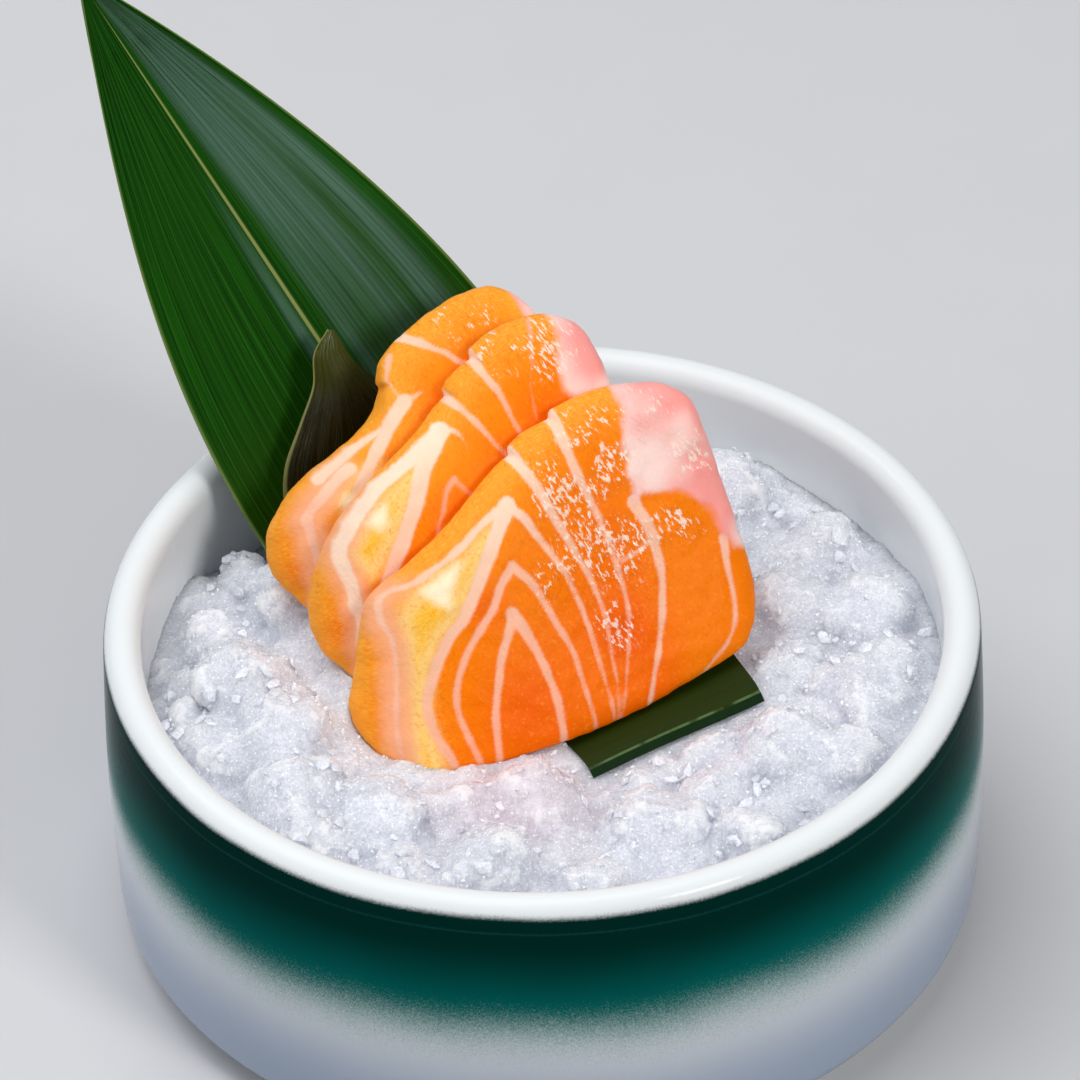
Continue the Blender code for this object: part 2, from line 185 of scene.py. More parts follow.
def calc(tree, operation, a, b=0.0, c=0.0):
    node = tree.nodes.new("ShaderNodeMath")
    node.operation = operation
    for socket, value in zip(node.inputs, (a, b, c)):
        put(tree, socket, value)
    return node.outputs[0]


def times(tree, a, b):
    return calc(tree, "MULTIPLY", a, b)


def plus(tree, a, b):
    return calc(tree, "ADD", a, b)


def minus(tree, a, b):
    return calc(tree, "SUBTRACT", a, b)


def swing(tree, value, amount):
    # a noise that swings evenly round zero
    return times(tree, minus(tree, value, 0.5), amount)


def stepUp(tree, value, low, high):
    # 0 below low, 1 above high, smooth between
    node = tree.nodes.new("ShaderNodeMapRange")
    node.interpolation_type = "SMOOTHSTEP"
    put(tree, node.inputs["Value"], value)
    node.inputs["From Min"].default_value = low
    node.inputs["From Max"].default_value = high
    return node.outputs["Result"]


def blendColour(tree, share, a, b):
    # a tuple is a colour as read off a screen
    node = tree.nodes.new("ShaderNodeMix")
    node.data_type = "RGBA"
    put(tree, node.inputs["Factor"], share)
    for side, colour in (("A", a), ("B", b)):
        put(tree, node.inputs[side], srgb(*colour) if isinstance(colour, tuple) else colour)
    return node.outputs["Result"]


def layered(tree, base, *tints):
    # colours laid over the base in turn: where each one shows, how strongly, and the colour
    for mask, strength, colour in tints:
        base = blendColour(tree, times(tree, mask, strength), base, colour)
    return base


def attribute(tree, name):
    node = tree.nodes.new("ShaderNodeAttribute")
    node.attribute_name = name
    return node.outputs["Fac"]


def noiseValue(tree, vector, scale, detail=2.0, rough=0.5):
    node = tree.nodes.new("ShaderNodeTexNoise")
    put(tree, node.inputs["Vector"], vector)
    node.inputs["Scale"].default_value = scale
    node.inputs["Detail"].default_value = detail
    node.inputs["Roughness"].default_value = rough
    return node.outputs["Fac"]


def streaks(tree, vector, scale, detail=3.0, rough=0.6):
    # noise with its own scale along each axis
    node = tree.nodes.new("ShaderNodeMapping")
    put(tree, node.inputs["Vector"], vector)
    node.inputs["Scale"].default_value = scale
    return noiseValue(tree, node.outputs["Vector"], 1.0, detail, rough)


def separated(tree, vector):
    node = tree.nodes.new("ShaderNodeSeparateXYZ")
    tree.links.new(vector, node.inputs[0])
    return node.outputs


def bumped(tree, shader, height, distance):
    node = tree.nodes.new("ShaderNodeBump")
    node.inputs["Distance"].default_value = distance
    node.inputs["Strength"].default_value = 1.0
    put(tree, node.inputs["Height"], height)
    tree.links.new(node.outputs["Normal"], shader.inputs["Normal"])
    return node.outputs["Normal"]


def coordinates(tree, kind="Object"):
    return tree.nodes.new("ShaderNodeTexCoord").outputs[kind]


# the bowl, in millimetres
bowl = {
    "rimRadius": 75.0, "height": 60.0, "wall": 6.5, "belly": 0.65,
    "footRadius": 60.5, "cornerHeight": 7.5, "floor": 7.0, "innerCorner": 6.0,
    "steps": 192, "lipSteps": 8, "wallSteps": 12, "cornerSteps": 14, "innerCornerSteps": 6,
}
glaze = {
    # colours as read off a screen, heights and radii in millimetres
    # the white outside is painted darker and bluer towards the foot: painted shade
    "white": (229, 233, 234), "whiteShaded": (158, 171, 190), "whiteShadeHeights": (40.0, 10.0),
    "fleck": (150, 165, 165), "flecks": (0.74, 0.78),
    "bandTop": (0, 42, 37), "bandLow": (0, 112, 106), "bandDarkens": (28.0, 53.0),
    "bandStarts": (57.2, 58.5), "bandFades": (19.0, 46.0), "speckle": 0.7, "speckled": (0.05, 0.85),
    "line": (50, 120, 110), "lineHeight": 54.6, "lineWidth": (0.05, 0.35), "lineShare": 0.12,
    "outside": (71.7, 71.8), "roughness": 0.14, "shine": 0.14, "bandShineLoss": 0.135, "ripple": 0.00004,
}


def arcPoints(cx, cz, rx, rz, start, end, steps):
    out = []
    for step in range(steps + 1):
        angle = math.radians(start + (end - start) * step / steps)
        out.append((cx + rx * math.cos(angle), cz + rz * math.sin(angle)))
    return out


def makeBowl():
    # rim, outer wall, foot, then inside from the floor back up to the rim, spun round Z
    lip = bowl["wall"] / 2
    inner = bowl["rimRadius"] - bowl["wall"]
    wallTop = bowl["height"] - lip
    innerFoot = bowl["floor"] + bowl["innerCorner"]
    profile = arcPoints(bowl["rimRadius"] - lip, wallTop, lip, lip, 90, 0, bowl["lipSteps"])
    for step in range(1, bowl["wallSteps"]):
        share = step / bowl["wallSteps"]
        profile.append((bowl["rimRadius"] + bowl["belly"] * math.sin(math.pi * share),
                        wallTop + (bowl["cornerHeight"] - wallTop) * share))
    profile += arcPoints(bowl["footRadius"], bowl["cornerHeight"], bowl["rimRadius"] - bowl["footRadius"],
                         bowl["cornerHeight"], 0, -90, bowl["cornerSteps"])
    profile += [(bowl["footRadius"] * 0.5, 0), (0, 0), (0, bowl["floor"]), (30, bowl["floor"])]
    profile += arcPoints(inner - bowl["innerCorner"], innerFoot, bowl["innerCorner"], bowl["innerCorner"],
                         -90, 0, bowl["innerCornerSteps"])
    for share in (0.25, 0.5, 0.75):
        profile.append((inner, innerFoot + (wallTop - innerFoot) * share))
    profile += arcPoints(bowl["rimRadius"] - lip, wallTop, lip, lip, 180, 90, bowl["lipSteps"])[:-1]
    startObjectMode()
    bpy.ops.mesh.primitive_plane_add(size=0.001)
    obj = bpy.context.object
    obj.name = "bowl_glazed"
    bpy.ops.object.mode_set(mode="EDIT")
    bpy.ops.mesh.select_all(action="SELECT")
    bpy.ops.mesh.merge(type="CENTER")
    spots = [Vector((x, 0, z)) * mm for x, z in profile]
    bpy.ops.transform.translate(value=spots[0])
    for a, b in zip(spots, spots[1:] + spots[:1]):
        bpy.ops.mesh.extrude_region_move(TRANSFORM_OT_translate={"value": b - a})
    bpy.ops.mesh.select_all(action="SELECT")
    bpy.ops.mesh.remove_doubles(threshold=1e-6)
    bpy.ops.mesh.select_all(action="SELECT")
    bpy.ops.mesh.spin(steps=bowl["steps"], angle=math.tau, center=(0, 0, 0), axis=(0, 0, 1))
    bpy.ops.mesh.select_all(action="SELECT")
    bpy.ops.mesh.remove_doubles(threshold=1e-6)
    bpy.ops.mesh.normals_make_consistent(inside=False)
    bpy.ops.object.mode_set(mode="OBJECT")
    inFixedOrder(obj)
    smoothShade(obj)
    return obj


def glazeMaterial():
    # white glaze with a sprayed teal band that starts just under the lip and fades downwards
    material, tree, shader = newMaterial("glaze")
    place = coordinates(tree)
    x, y, z = separated(tree, place)
    radius = calc(tree, "SQRT", plus(tree, times(tree, x, x), times(tree, y, y)))
    outside = stepUp(tree, radius, *(edge * mm for edge in glaze["outside"]))
    slow = noiseValue(tree, place, 35.0)
    fine = noiseValue(tree, place, 3300.0, 3.0, 0.75)
    level = times(tree, z, 1000.0)
    height = plus(tree, level, swing(tree, slow, 4.0))
    edgeHeight = plus(tree, level, plus(tree, swing(tree, slow, 1.0), swing(tree, fine, 1.1)))
    under = minus(tree, 1.0, stepUp(tree, edgeHeight, *glaze["bandStarts"]))
    fade = stepUp(tree, height, *glaze["bandFades"])
    speckle = stepUp(tree, plus(tree, fade, swing(tree, fine, glaze["speckle"])), *glaze["speckled"])
    teal = times(tree, times(tree, under, speckle), outside)
    fromLine = calc(tree, "ABSOLUTE", minus(tree, edgeHeight, glaze["lineHeight"]))
    line = times(tree, outside, minus(tree, 1.0, stepUp(tree, fromLine, *glaze["lineWidth"])))
    band = blendColour(tree, stepUp(tree, height, *glaze["bandDarkens"]), glaze["bandLow"], glaze["bandTop"])
    band = layered(tree, band, (line, glaze["lineShare"], glaze["line"]))
    # painted shade: the outside is darkened and blued towards the foot
    low = times(tree, outside, stepUp(tree, height, *glaze["whiteShadeHeights"]))
    white = blendColour(tree, low, glaze["white"], glaze["whiteShaded"])
    white = blendColour(tree, stepUp(tree, fine, *glaze["flecks"]), white, glaze["fleck"])
    tree.links.new(blendColour(tree, teal, white, band), shader.inputs["Base Color"])
    shader.inputs["Roughness"].default_value = glaze["roughness"]
    tree.links.new(minus(tree, glaze["shine"], times(tree, teal, glaze["bandShineLoss"])),
                   shader.inputs["Specular IOR Level"])
    bumped(tree, shader, noiseValue(tree, place, 700.0, 2.0), glaze["ripple"])
    return material


bowlPiece = makeBowl()
finishPiece(bowlPiece, glazeMaterial(), "glaze", "bowl")
print("bowl", len(bowlPiece.data.polygons))


# salmon: three slices in one stack, with the same lean and the same bend
stack = {
    "foot": Vector((9.0, -19.5, 49.0)), "turn": math.radians(20), "lean": math.radians(40),
    "thickness": 8.4, "spacing": 8.8, "sideStart": -10.0, "sideRadius": 38.0,
    "topStart": 40.0, "topRadius": 110.0, "across": 9, "up": 6,
    # how far the rolled and the cut edges of the front fall back, and how far along the top it is rolled
    "rolled": 2.6, "rolledShare": 0.75, "cut": 0.7, "levels": 4,
}
relief = {
    # a smooth wave and a ragged one: how fine each is
    "wave": 0.35, "ragged": 1.6, "seamInset": 0.12, "seamWave": 0.25, "seamRagged": 0.12,
    "seamDepth": 0.10, "waveHeight": 0.22, "raggedHeight": 0.05,
    # the painted light along the contour: how far in from each side
    "contour": (("top", 6.0), ("left", 2.5)), "endStart": -22.0, "endRun": 6.0,
}
flesh = {
    # colours as read off a screen; where there are two, the second is where the place named is strongest
    # deep is deeper orange, partly the flesh's own and partly painted shade
    "low": ((255, 142, 8), (244, 96, 0)), "patch": (255, 126, 0), "deep": (240, 84, 0),
    # contour is light painted along the rolled edge; thread is a lighter thread shown only there and at the left end
    "contour": (255, 164, 52), "thread": (255, 196, 84),
    # gold is paler flesh, partly its own colour and partly painted light on the bent left side
    "gold": ((255, 206, 124), (255, 190, 52)), "goldAndLightThread": (255, 226, 150),
    "grain": (255, 150, 44), "fibre": (250, 82, 0), "rose": (255, 178, 136),
    "seam": ((250, 140, 92), (255, 232, 208)), "fat": ((253, 160, 152), (255, 218, 208)),
    # glint and wet are painted highlights
    "glint": (255, 246, 216), "wet": (255, 233, 216), "fibreTurn": math.radians(-14),
    "depth": 0.25, "depthScale": 0.003, "roughness": 0.35, "shine": 0.05, "ripple": 0.0004,
}
# the places on each slice, in millimetres across and up the slope from the stack's foot
slices = {
    "salmon_front": {
        "left": [(-35, 3), (-38, 11), (-35, 21), (-31, 33)],
        "top": [(-31, 33), (-21.5, 37), (-11.5, 43.5), (-3.5, 50.5), (6, 55.5), (17, 57.5), (27, 56),
                (32.5, 53)],
        "right": [(31, 6), (35, 14), (34.5, 27), (33.5, 40), (32.5, 53)],
        "bottom": [(-35, 3), (-27, -2.5), (-12, -2.5), (4, -1.5), (20, 2.5), (31, 6)],
        # each seam: points across and up the slope, width at both ends, how pale both ends are
        "seams": [
            ([(-5.3, 41.6), (-8.8, 36.7), (-11.7, 32.6), (-14.7, 28.5), (-17.7, 24.7), (-20.7, 22.2), (-23.5, 18.4),
              (-25.5, 15.1), (-26.8, 11.1), (-26.5, 6.5), (-25.1, 2.2), (-24, -3)], (3.2, 2.4), (1.0, 0.35)),
            ([(-5.3, 41.6), (-3.4, 39.2), (-1.8, 35.4), (0.8, 29.8), (2.1, 25), (2.9, 20.4), (3.2, 15.9),
              (3.4, 10.9), (3.8, 6.4), (3.8, 1.9), (3.9, -3)], (2.0, 0.8), (0.8, 0.3)),
            ([(-7.2, 31.3), (-9.6, 29.1), (-12.3, 25.3), (-15.4, 22.2), (-18, 19.5), (-20.3, 16.1), (-21.8, 12.6),
              (-22.1, 8.8), (-21.3, 4.2), (-20, -3)], (1.8, 1.8), (0.55, 0.3)),
            ([(-7.2, 31.3), (-4.8, 27.8), (-3.3, 23.9), (-2, 19.2), (-0.6, 14.9), (-0.3, 10.4), (0, 5.9),
              (0.3, 2.4), (0.4, -3)], (2.0, 1.1), (0.5, 0.3)),
            ([(-9.3, 23.6), (-11, 20.1), (-12.8, 17.1), (-14.2, 13.6), (-15.6, 10), (-16.8, 5.4), (-17.5, -3)],
             (1.9, 1.9), (0.55, 0.35)),
            ([(-9.3, 23.6), (-7.9, 20.2), (-6.8, 16.5), (-5.9, 12.4), (-5.5, 8.3), (-5.5, 4.4), (-5.9, -3)],
             (2.4, 2.0), (0.5, 0.35)),
            ([(-2.4, 52.5), (-1.6, 48.9), (0.1, 44.3), (1.4, 40), (2.7, 35.2), (4.1, 30.9), (5.4, 26.2), (6.2, 21.5),
              (6.3, 17.1), (5.9, 12.7), (5.6, 8.4), (5, 3.6), (4.2, -0.6)], (3.0, 0.5), (1.0, 0.2)),
            ([(6.7, 57), (7.2, 51.6), (7.7, 45.7), (8.4, 41.1), (9.4, 36.9), (10.1, 32.3), (10.5, 27.7), (10.8, 23.3),
              (10.6, 18.8), (9.4, 14.2), (7.9, 9.7), (6.6, 5.7), (4.9, 1.2)], (3.0, 0.5), (0.9, 0.2)),
            ([(-5.5, 42), (-10.9, 39.2), (-15.2, 36.4), (-19.5, 34.5), (-23.6, 32.8), (-27.9, 32.4), (-29.6, 30.9),
              (-29.9, 27.6), (-29.3, 24.4), (-29.8, 19.7), (-31, 14.1), (-32.1, 9), (-32.5, 0)],
             (1.7, 1.4), (0.9, 0.4)),
            ([(16.4, 36.6), (17.7, 31.9), (18, 27.3), (17.9, 22.9), (16.8, 18.8), (15.5, 14.7), (13.8, 10.6),
              (12.1, 6.7), (10.6, 3)], (2.6, 1.5), (0.6, 0.5)),
            ([(30.2, 26.6), (29.7, 22.8), (29.5, 17.9), (28.7, 13.2), (26.7, 9.7), (23.5, 7.2), (20.2, 4.6)],
             (1.8, 0.9), (0.6, 0.4)),
            ([(10.8, 27.5), (13.3, 27.9), (15.8, 28.7), (18, 30)], (0.5, 1.6), (0.4, 0.5)),
        ],
        "fat": [(19, 60), (31, 60), (36, 53), (36, 24), (32.1, 24.8), (30.4, 27.1), (29, 31.5), (26.7, 34.5),
                (24.1, 36.6), (20.3, 37.6), (18.2, 37.6), (16.4, 36.6), (17.1, 40.9), (17.3, 45.8), (18.2, 50.5)],
        "glint": [(-16.1, 33.9), (-18.4, 32.9), (-22.8, 31.0), (-21.0, 28.6), (-19.4, 27.4), (-18.3, 30.1)],
        "gold": [(-7, 40.8), (-9.2, 36.5), (-14.5, 29.1), (-18.2, 24.8), (-21.6, 22.2), (-24.4, 18.6),
                 (-26.8, 11), (-26.4, 5), (-25.4, -4), (-31.6, -4), (-31, 6), (-29.6, 13), (-28.5, 20.6), (-28, 24),
                 (-27.7, 28.3), (-23.9, 31.6), (-19.5, 33.4), (-15.2, 35.2), (-11, 38)],
        # broad rosy bands along some of the seams: which seam, half its width
        "rose": [(8, 2.2)],
        # where the contour steps out: place, amount and how far the step runs
        "steps": [(-2.6, 51.4, 1.3, 6), (6.5, 55.6, 1.2, 5)],
        # deeper orange places, partly the flesh's own colour and partly painted shade, and wet places with a painted
        # highlight: where and how broad
        "deep": [(-10.5, 8, 8), (8, 16, 5), (-14, 26, 4)],
        "wet": [(5, 41, 8), (12, 46, 8), (9, 31, 8), (22, 50, 5), (29, 43, 5), (17, 31, 4), (24, 32, 4),
                (0, 27, 5), (8, 17, 4)],
    },
    "salmon_middle": {
        "left": [(-33, 16), (-38, 24), (-37.5, 34), (-33, 42.5)],
        "top": [(-33, 42.5), (-25.5, 50.5), (-14, 57), (-8, 63.5), (-1.5, 69), (8, 72.5), (16, 72), (20.5, 68)],
        "right": [(20, 12), (23, 26), (23, 42), (22, 56), (20.5, 68)],
        "bottom": [(-33, 16), (-26, 11), (-12, 7), (2, 6), (12, 8), (20, 12)],
        "seams": [
            ([(-32, 16), (-32, 21.4), (-31.9, 25.3), (-31.2, 28), (-31.5, 31.7), (-31.6, 35.8), (-31.9, 40.7),
              (-29.2, 44.4), (-26.7, 46.9), (-23.4, 49.7), (-19.8, 51.6), (-16.1, 53.4), (-13.1, 55.4),
              (-10.6, 56.8)], (1.8, 4.2), (0.5, 1.0)),
            ([(-11.2, 56.9), (-8.4, 55.9), (-7.3, 53.9), (-7.1, 51.5)], (2.0, 0.1), (1.0, 0.3)),
            ([(-10.7, 56.6), (-12.5, 54.5), (-15, 51.5), (-16.9, 47.9), (-18.9, 44.4), (-21.6, 40.3),
              (-24.6, 35.8), (-25.9, 33.4), (-28, 27), (-28, 16)], (3.6, 3.4), (1.0, 0.5)),
            ([(-10.8, 47.9), (-12.5, 46.4), (-14.1, 43.2), (-15.7, 40.3), (-18, 34)], (1.4, 0.8), (0.35, 0.2)),
            ([(-10.8, 47.9), (-9.4, 45.6), (-8.1, 43.7), (-6, 38)], (1.2, 0.6), (0.35, 0.15)),
            ([(-8.4, 64), (-7.5, 61.4), (-5.8, 58.9), (-3.9, 55.6), (-2.1, 51.8), (-0.7, 49.4), (1, 44)],
             (2.4, 0.6), (0.9, 0.2)),
            ([(-1.5, 70), (-0.9, 66.2), (0.1, 63.1), (1.2, 59.9), (1.8, 56.5), (2.5, 53.1), (4, 46)],
             (2.8, 0.6), (0.9, 0.2)),
            ([(10.5, 71), (8.3, 63.9), (6.8, 60.1), (6, 54)], (0.9, 0.4), (0.35, 0.1)),
        ],
        "fat": [(14.6, 76), (24, 76), (28, 50), (21.6, 50), (17.3, 53.4), (14, 54.9), (12.7, 57.8), (12.7, 61.6),
                (13.9, 65.3)],
        "glint": [(-23.4, 46.2), (-25.0, 45.3), (-26.2, 44.4), (-24.8, 42.9), (-23.7, 43.8)],
        "gold": [(-31.4, 40.6), (-28.7, 43.7), (-23.2, 48.1), (-18.3, 50.8), (-13.7, 53.5), (-16, 50.9),
                 (-18.2, 47.1), (-20.4, 43.3), (-23.2, 39.6), (-25.7, 36.6), (-28.3, 34.8), (-29.7, 37),
                 (-30.9, 38.7)],
        "deep": [(-11, 41, 6), (-20, 34, 5), (0, 48, 6), (8, 54, 6), (-35.5, 27, 3.5)],
        "rose": [(0, 2.4)],
        "steps": [(-8.2, 63.3, 1.2, 5), (-1.6, 68.9, 1.4, 5)],
        "wet": [(12, 66, 6), (4, 67, 5)],
    },
    "salmon_back": {
        "left": [(-35, 29), (-40, 37), (-39.5, 46), (-33.5, 53.5)],
        "top": [(-33.5, 53.5), (-25.5, 57.5), (-16.5, 62.5), (-15, 70.5), (-7.5, 75), (2, 78.5), (10, 79.5),
                (15, 73)],
        "right": [(13, 24), (17, 38), (18, 50), (17, 62), (15, 73)],
        "bottom": [(-35, 29), (-28, 23), (-18, 20), (-6, 19), (4, 20), (13, 24)],
        "seams": [
            ([(-9.0, 63.9), (-12, 62.9), (-14.5, 62), (-17.8, 59.3), (-21.2, 58), (-26.3, 55.5), (-30.1, 53.4)],
             (0.2, 3.0), (0.8, 0.8)),
            ([(-13.2, 62.7), (-16.1, 60.2), (-18.4, 57.6), (-20.5, 55.2), (-22.9, 52.2), (-25.3, 49.2),
              (-28, 45.7), (-30.4, 41.9), (-31.9, 39.7), (-32, 30)], (3.0, 2.4), (0.9, 0.5)),
            ([(-25, 54), (-27, 53), (-30, 50.7), (-33, 48.3), (-33.6, 46), (-33.6, 38), (-33, 30)],
             (2.4, 2.0), (0.7, 0.4)),
            ([(-9.5, 74), (-7.8, 72.6), (-5.8, 71), (-3.4, 69.2), (-1.9, 67.3), (-0.5, 65.9), (3, 60)],
             (2.6, 0.8), (0.8, 0.3)),
            ([(-12.2, 71), (-13.5, 69), (-14.8, 66), (-13.9, 63.9)], (0.9, 0.7), (0.5, 0.5)),
        ],
        "fat": [(10, 82), (20, 82), (20, 60), (14, 64)],
        "glint": [(-26.5, 49.5), (-27.3, 48.4), (-26.2, 48.6)],
        "gold": [(-29, 50), (-24, 53), (-20, 54), (-24, 48), (-27, 44)],
        "deep": [(-8, 60, 5), (-16, 52, 4), (2, 64, 6), (-37.5, 38, 3.5)],
        "rose": [(2, 2.6)],
        "steps": [(-15.6, 66, 0.8, 4)],
        "wet": [(2, 74, 5)],
    },
}


def planeAxes(turn, lean):
    across = Vector((math.cos(turn), math.sin(turn), 0))
    level = Vector((math.sin(turn), -math.cos(turn), 0))
    slope = Vector((0, 0, 1)) * math.cos(lean) - level * math.sin(lean)
    return across, slope, across.cross(slope)


def alongPoints(points, t):
    # a smooth curve through the points by chord length, t from 0 to 1
    vectors = [Vector(point) for point in points]
    lengths = [(b - a).length for a, b in zip(vectors, vectors[1:])]
    target = t * sum(lengths)
    index = 0
    while index < len(lengths) - 1 and target > lengths[index]:
        target -= lengths[index]
        index += 1
    local = min(1.0, target / lengths[index])
    p1, p2 = vectors[index], vectors[index + 1]
    p0 = vectors[index - 1] if index > 0 else p1 * 2 - p2
    p3 = vectors[index + 2] if index + 2 < len(vectors) else p2 * 2 - p1
    return 0.5 * (2 * p1 + (p2 - p0) * local + (2 * p0 - 5 * p1 + 4 * p2 - p3) * local**2
                  + (3 * p1 - p0 - 3 * p2 + p3) * local**3)


def patchPoint(outline, i, j):
    left, right, bottom, top = (outline[side] for side in ("left", "right", "bottom", "top"))
    sides = (1 - i) * alongPoints(left, j) + i * alongPoints(right, j)
    ends = (1 - j) * alongPoints(bottom, i) + j * alongPoints(top, i)
    corners = ((1 - i) * (1 - j) * Vector(bottom[0]) + i * (1 - j) * Vector(bottom[-1])
               + (1 - i) * j * Vector(top[0]) + i * j * Vector(top[-1]))
    return sides + ends - corners


def stackBend(u, w):
    side = np.maximum(0, stack["sideStart"] - u)
    top = np.maximum(0, w - stack["topStart"])
    return side**2 / (2 * stack["sideRadius"]) + top**2 / (2 * stack["topRadius"])


def makeSlice(name, depth):
    # a grid cage with a front and a back, bent as the stack is, then subdivided and cut by its seams
    outline = slices[name]
    across, up, out = planeAxes(stack["turn"], stack["lean"])
    columns, rows = stack["across"], stack["up"]
    near = 0.5 / columns
    startObjectMode()
    bpy.ops.mesh.primitive_grid_add(x_subdivisions=columns, y_subdivisions=rows, size=1)
    obj = bpy.context.object
    obj.name = name.replace("salmon", "cut")
    bpy.ops.object.mode_set(mode="EDIT")
    bpy.ops.mesh.select_all(action="SELECT")
    bpy.ops.mesh.extrude_region_move(TRANSFORM_OT_translate={"value": (0, 0, -1)})
    bpy.ops.object.mode_set(mode="OBJECT")
    for vert in obj.data.vertices:
        i, j = vert.co.x + 0.5, vert.co.y + 0.5
        spot = patchPoint(outline, i, j)
        if vert.co.z < -0.5:
            into = stack["thickness"]
            spot.y += stack["thickness"] * math.tan(stack["lean"]) * (1 - j)**2
        else:
            rolled = i < near or (j > 1 - near and i < stack["rolledShare"])
            cut = i > 1 - near or j < near or j > 1 - near
            into = stack["rolled"] if rolled else stack["cut"] if cut else 0.0
        into += depth + float(stackBend(spot.x, spot.y))
        vert.co = (stack["foot"] + across * spot.x + up * spot.y - out * into) * mm
    bpy.ops.object.mode_set(mode="EDIT")
    bpy.ops.mesh.select_all(action="SELECT")
    bpy.ops.mesh.normals_make_consistent(inside=False)
    bpy.ops.object.mode_set(mode="OBJECT")
    inFixedOrder(obj)
    modifier = obj.modifiers.new("Subdivision", "SUBSURF")
    modifier.levels = modifier.render_levels = stack["levels"]
    applyAll(obj)
    smoothShade(obj)
    return obj


def curveDistance(points, spots):
    # distance of each spot from a smooth curve, and how far along it the nearest place is
    fine = np.array([alongPoints(points, k / 80) for k in range(81)])
    best = np.full(len(spots), 1e9)
    share = np.zeros(len(spots))
    for k, (a, b) in enumerate(zip(fine, fine[1:])):
        run = b - a
        t = np.clip(((spots - a) @ run) / max(run @ run, 1e-9), 0, 1)
        away = np.linalg.norm(spots - a - t[:, None] * run, axis=1)
        closer = away < best
        best[closer] = away[closer]
        share[closer] = (k + t[closer]) / 80
    return best, share


def insideDistance(polygon, spots):
    # signed distance from a polygon's edge, positive inside
    corners = np.array(polygon, float)
    best = np.full(len(spots), 1e9)
    inside = np.zeros(len(spots), bool)
    for a, b in zip(corners, np.roll(corners, -1, axis=0)):
        run = b - a
        t = np.clip(((spots - a) @ run) / (run @ run), 0, 1)
        best = np.minimum(best, np.linalg.norm(spots - a - t[:, None] * run, axis=1))
        crosses = (a[1] > spots[:, 1]) != (b[1] > spots[:, 1])
        rise = run[1] if abs(run[1]) > 1e-9 else 1e-9
        inside ^= crosses & (spots[:, 0] < a[0] + (spots[:, 1] - a[1]) * run[0] / rise)
    return np.where(inside, best, -best)


def contourSteps(facts, spots):
    # the small steps in the upper contour: how far each spot moves across and up the slope
    top = np.array([alongPoints(facts["top"], k / 200) for k in range(201)])
    shift = np.zeros_like(spots)
    for u, w, amount, run in facts["steps"]:
        at = int(np.argmin(np.linalg.norm(top - (u, w), axis=1)))
        tangent = (top[at + 3] - top[at - 3]) / np.linalg.norm(top[at + 3] - top[at - 3])
        outward = np.array([-tangent[1], tangent[0]])
        past = (spots - top[at]) @ tangent
        inside = np.maximum(0, -((spots - top[at]) @ outward))
        fall = np.where(past < 0, np.exp(np.minimum(past, 0) / run), np.exp(-(past / 0.6)**2))
        shift -= (amount * fall * np.exp(-(inside / 4)**2))[:, None] * outward
    return shift


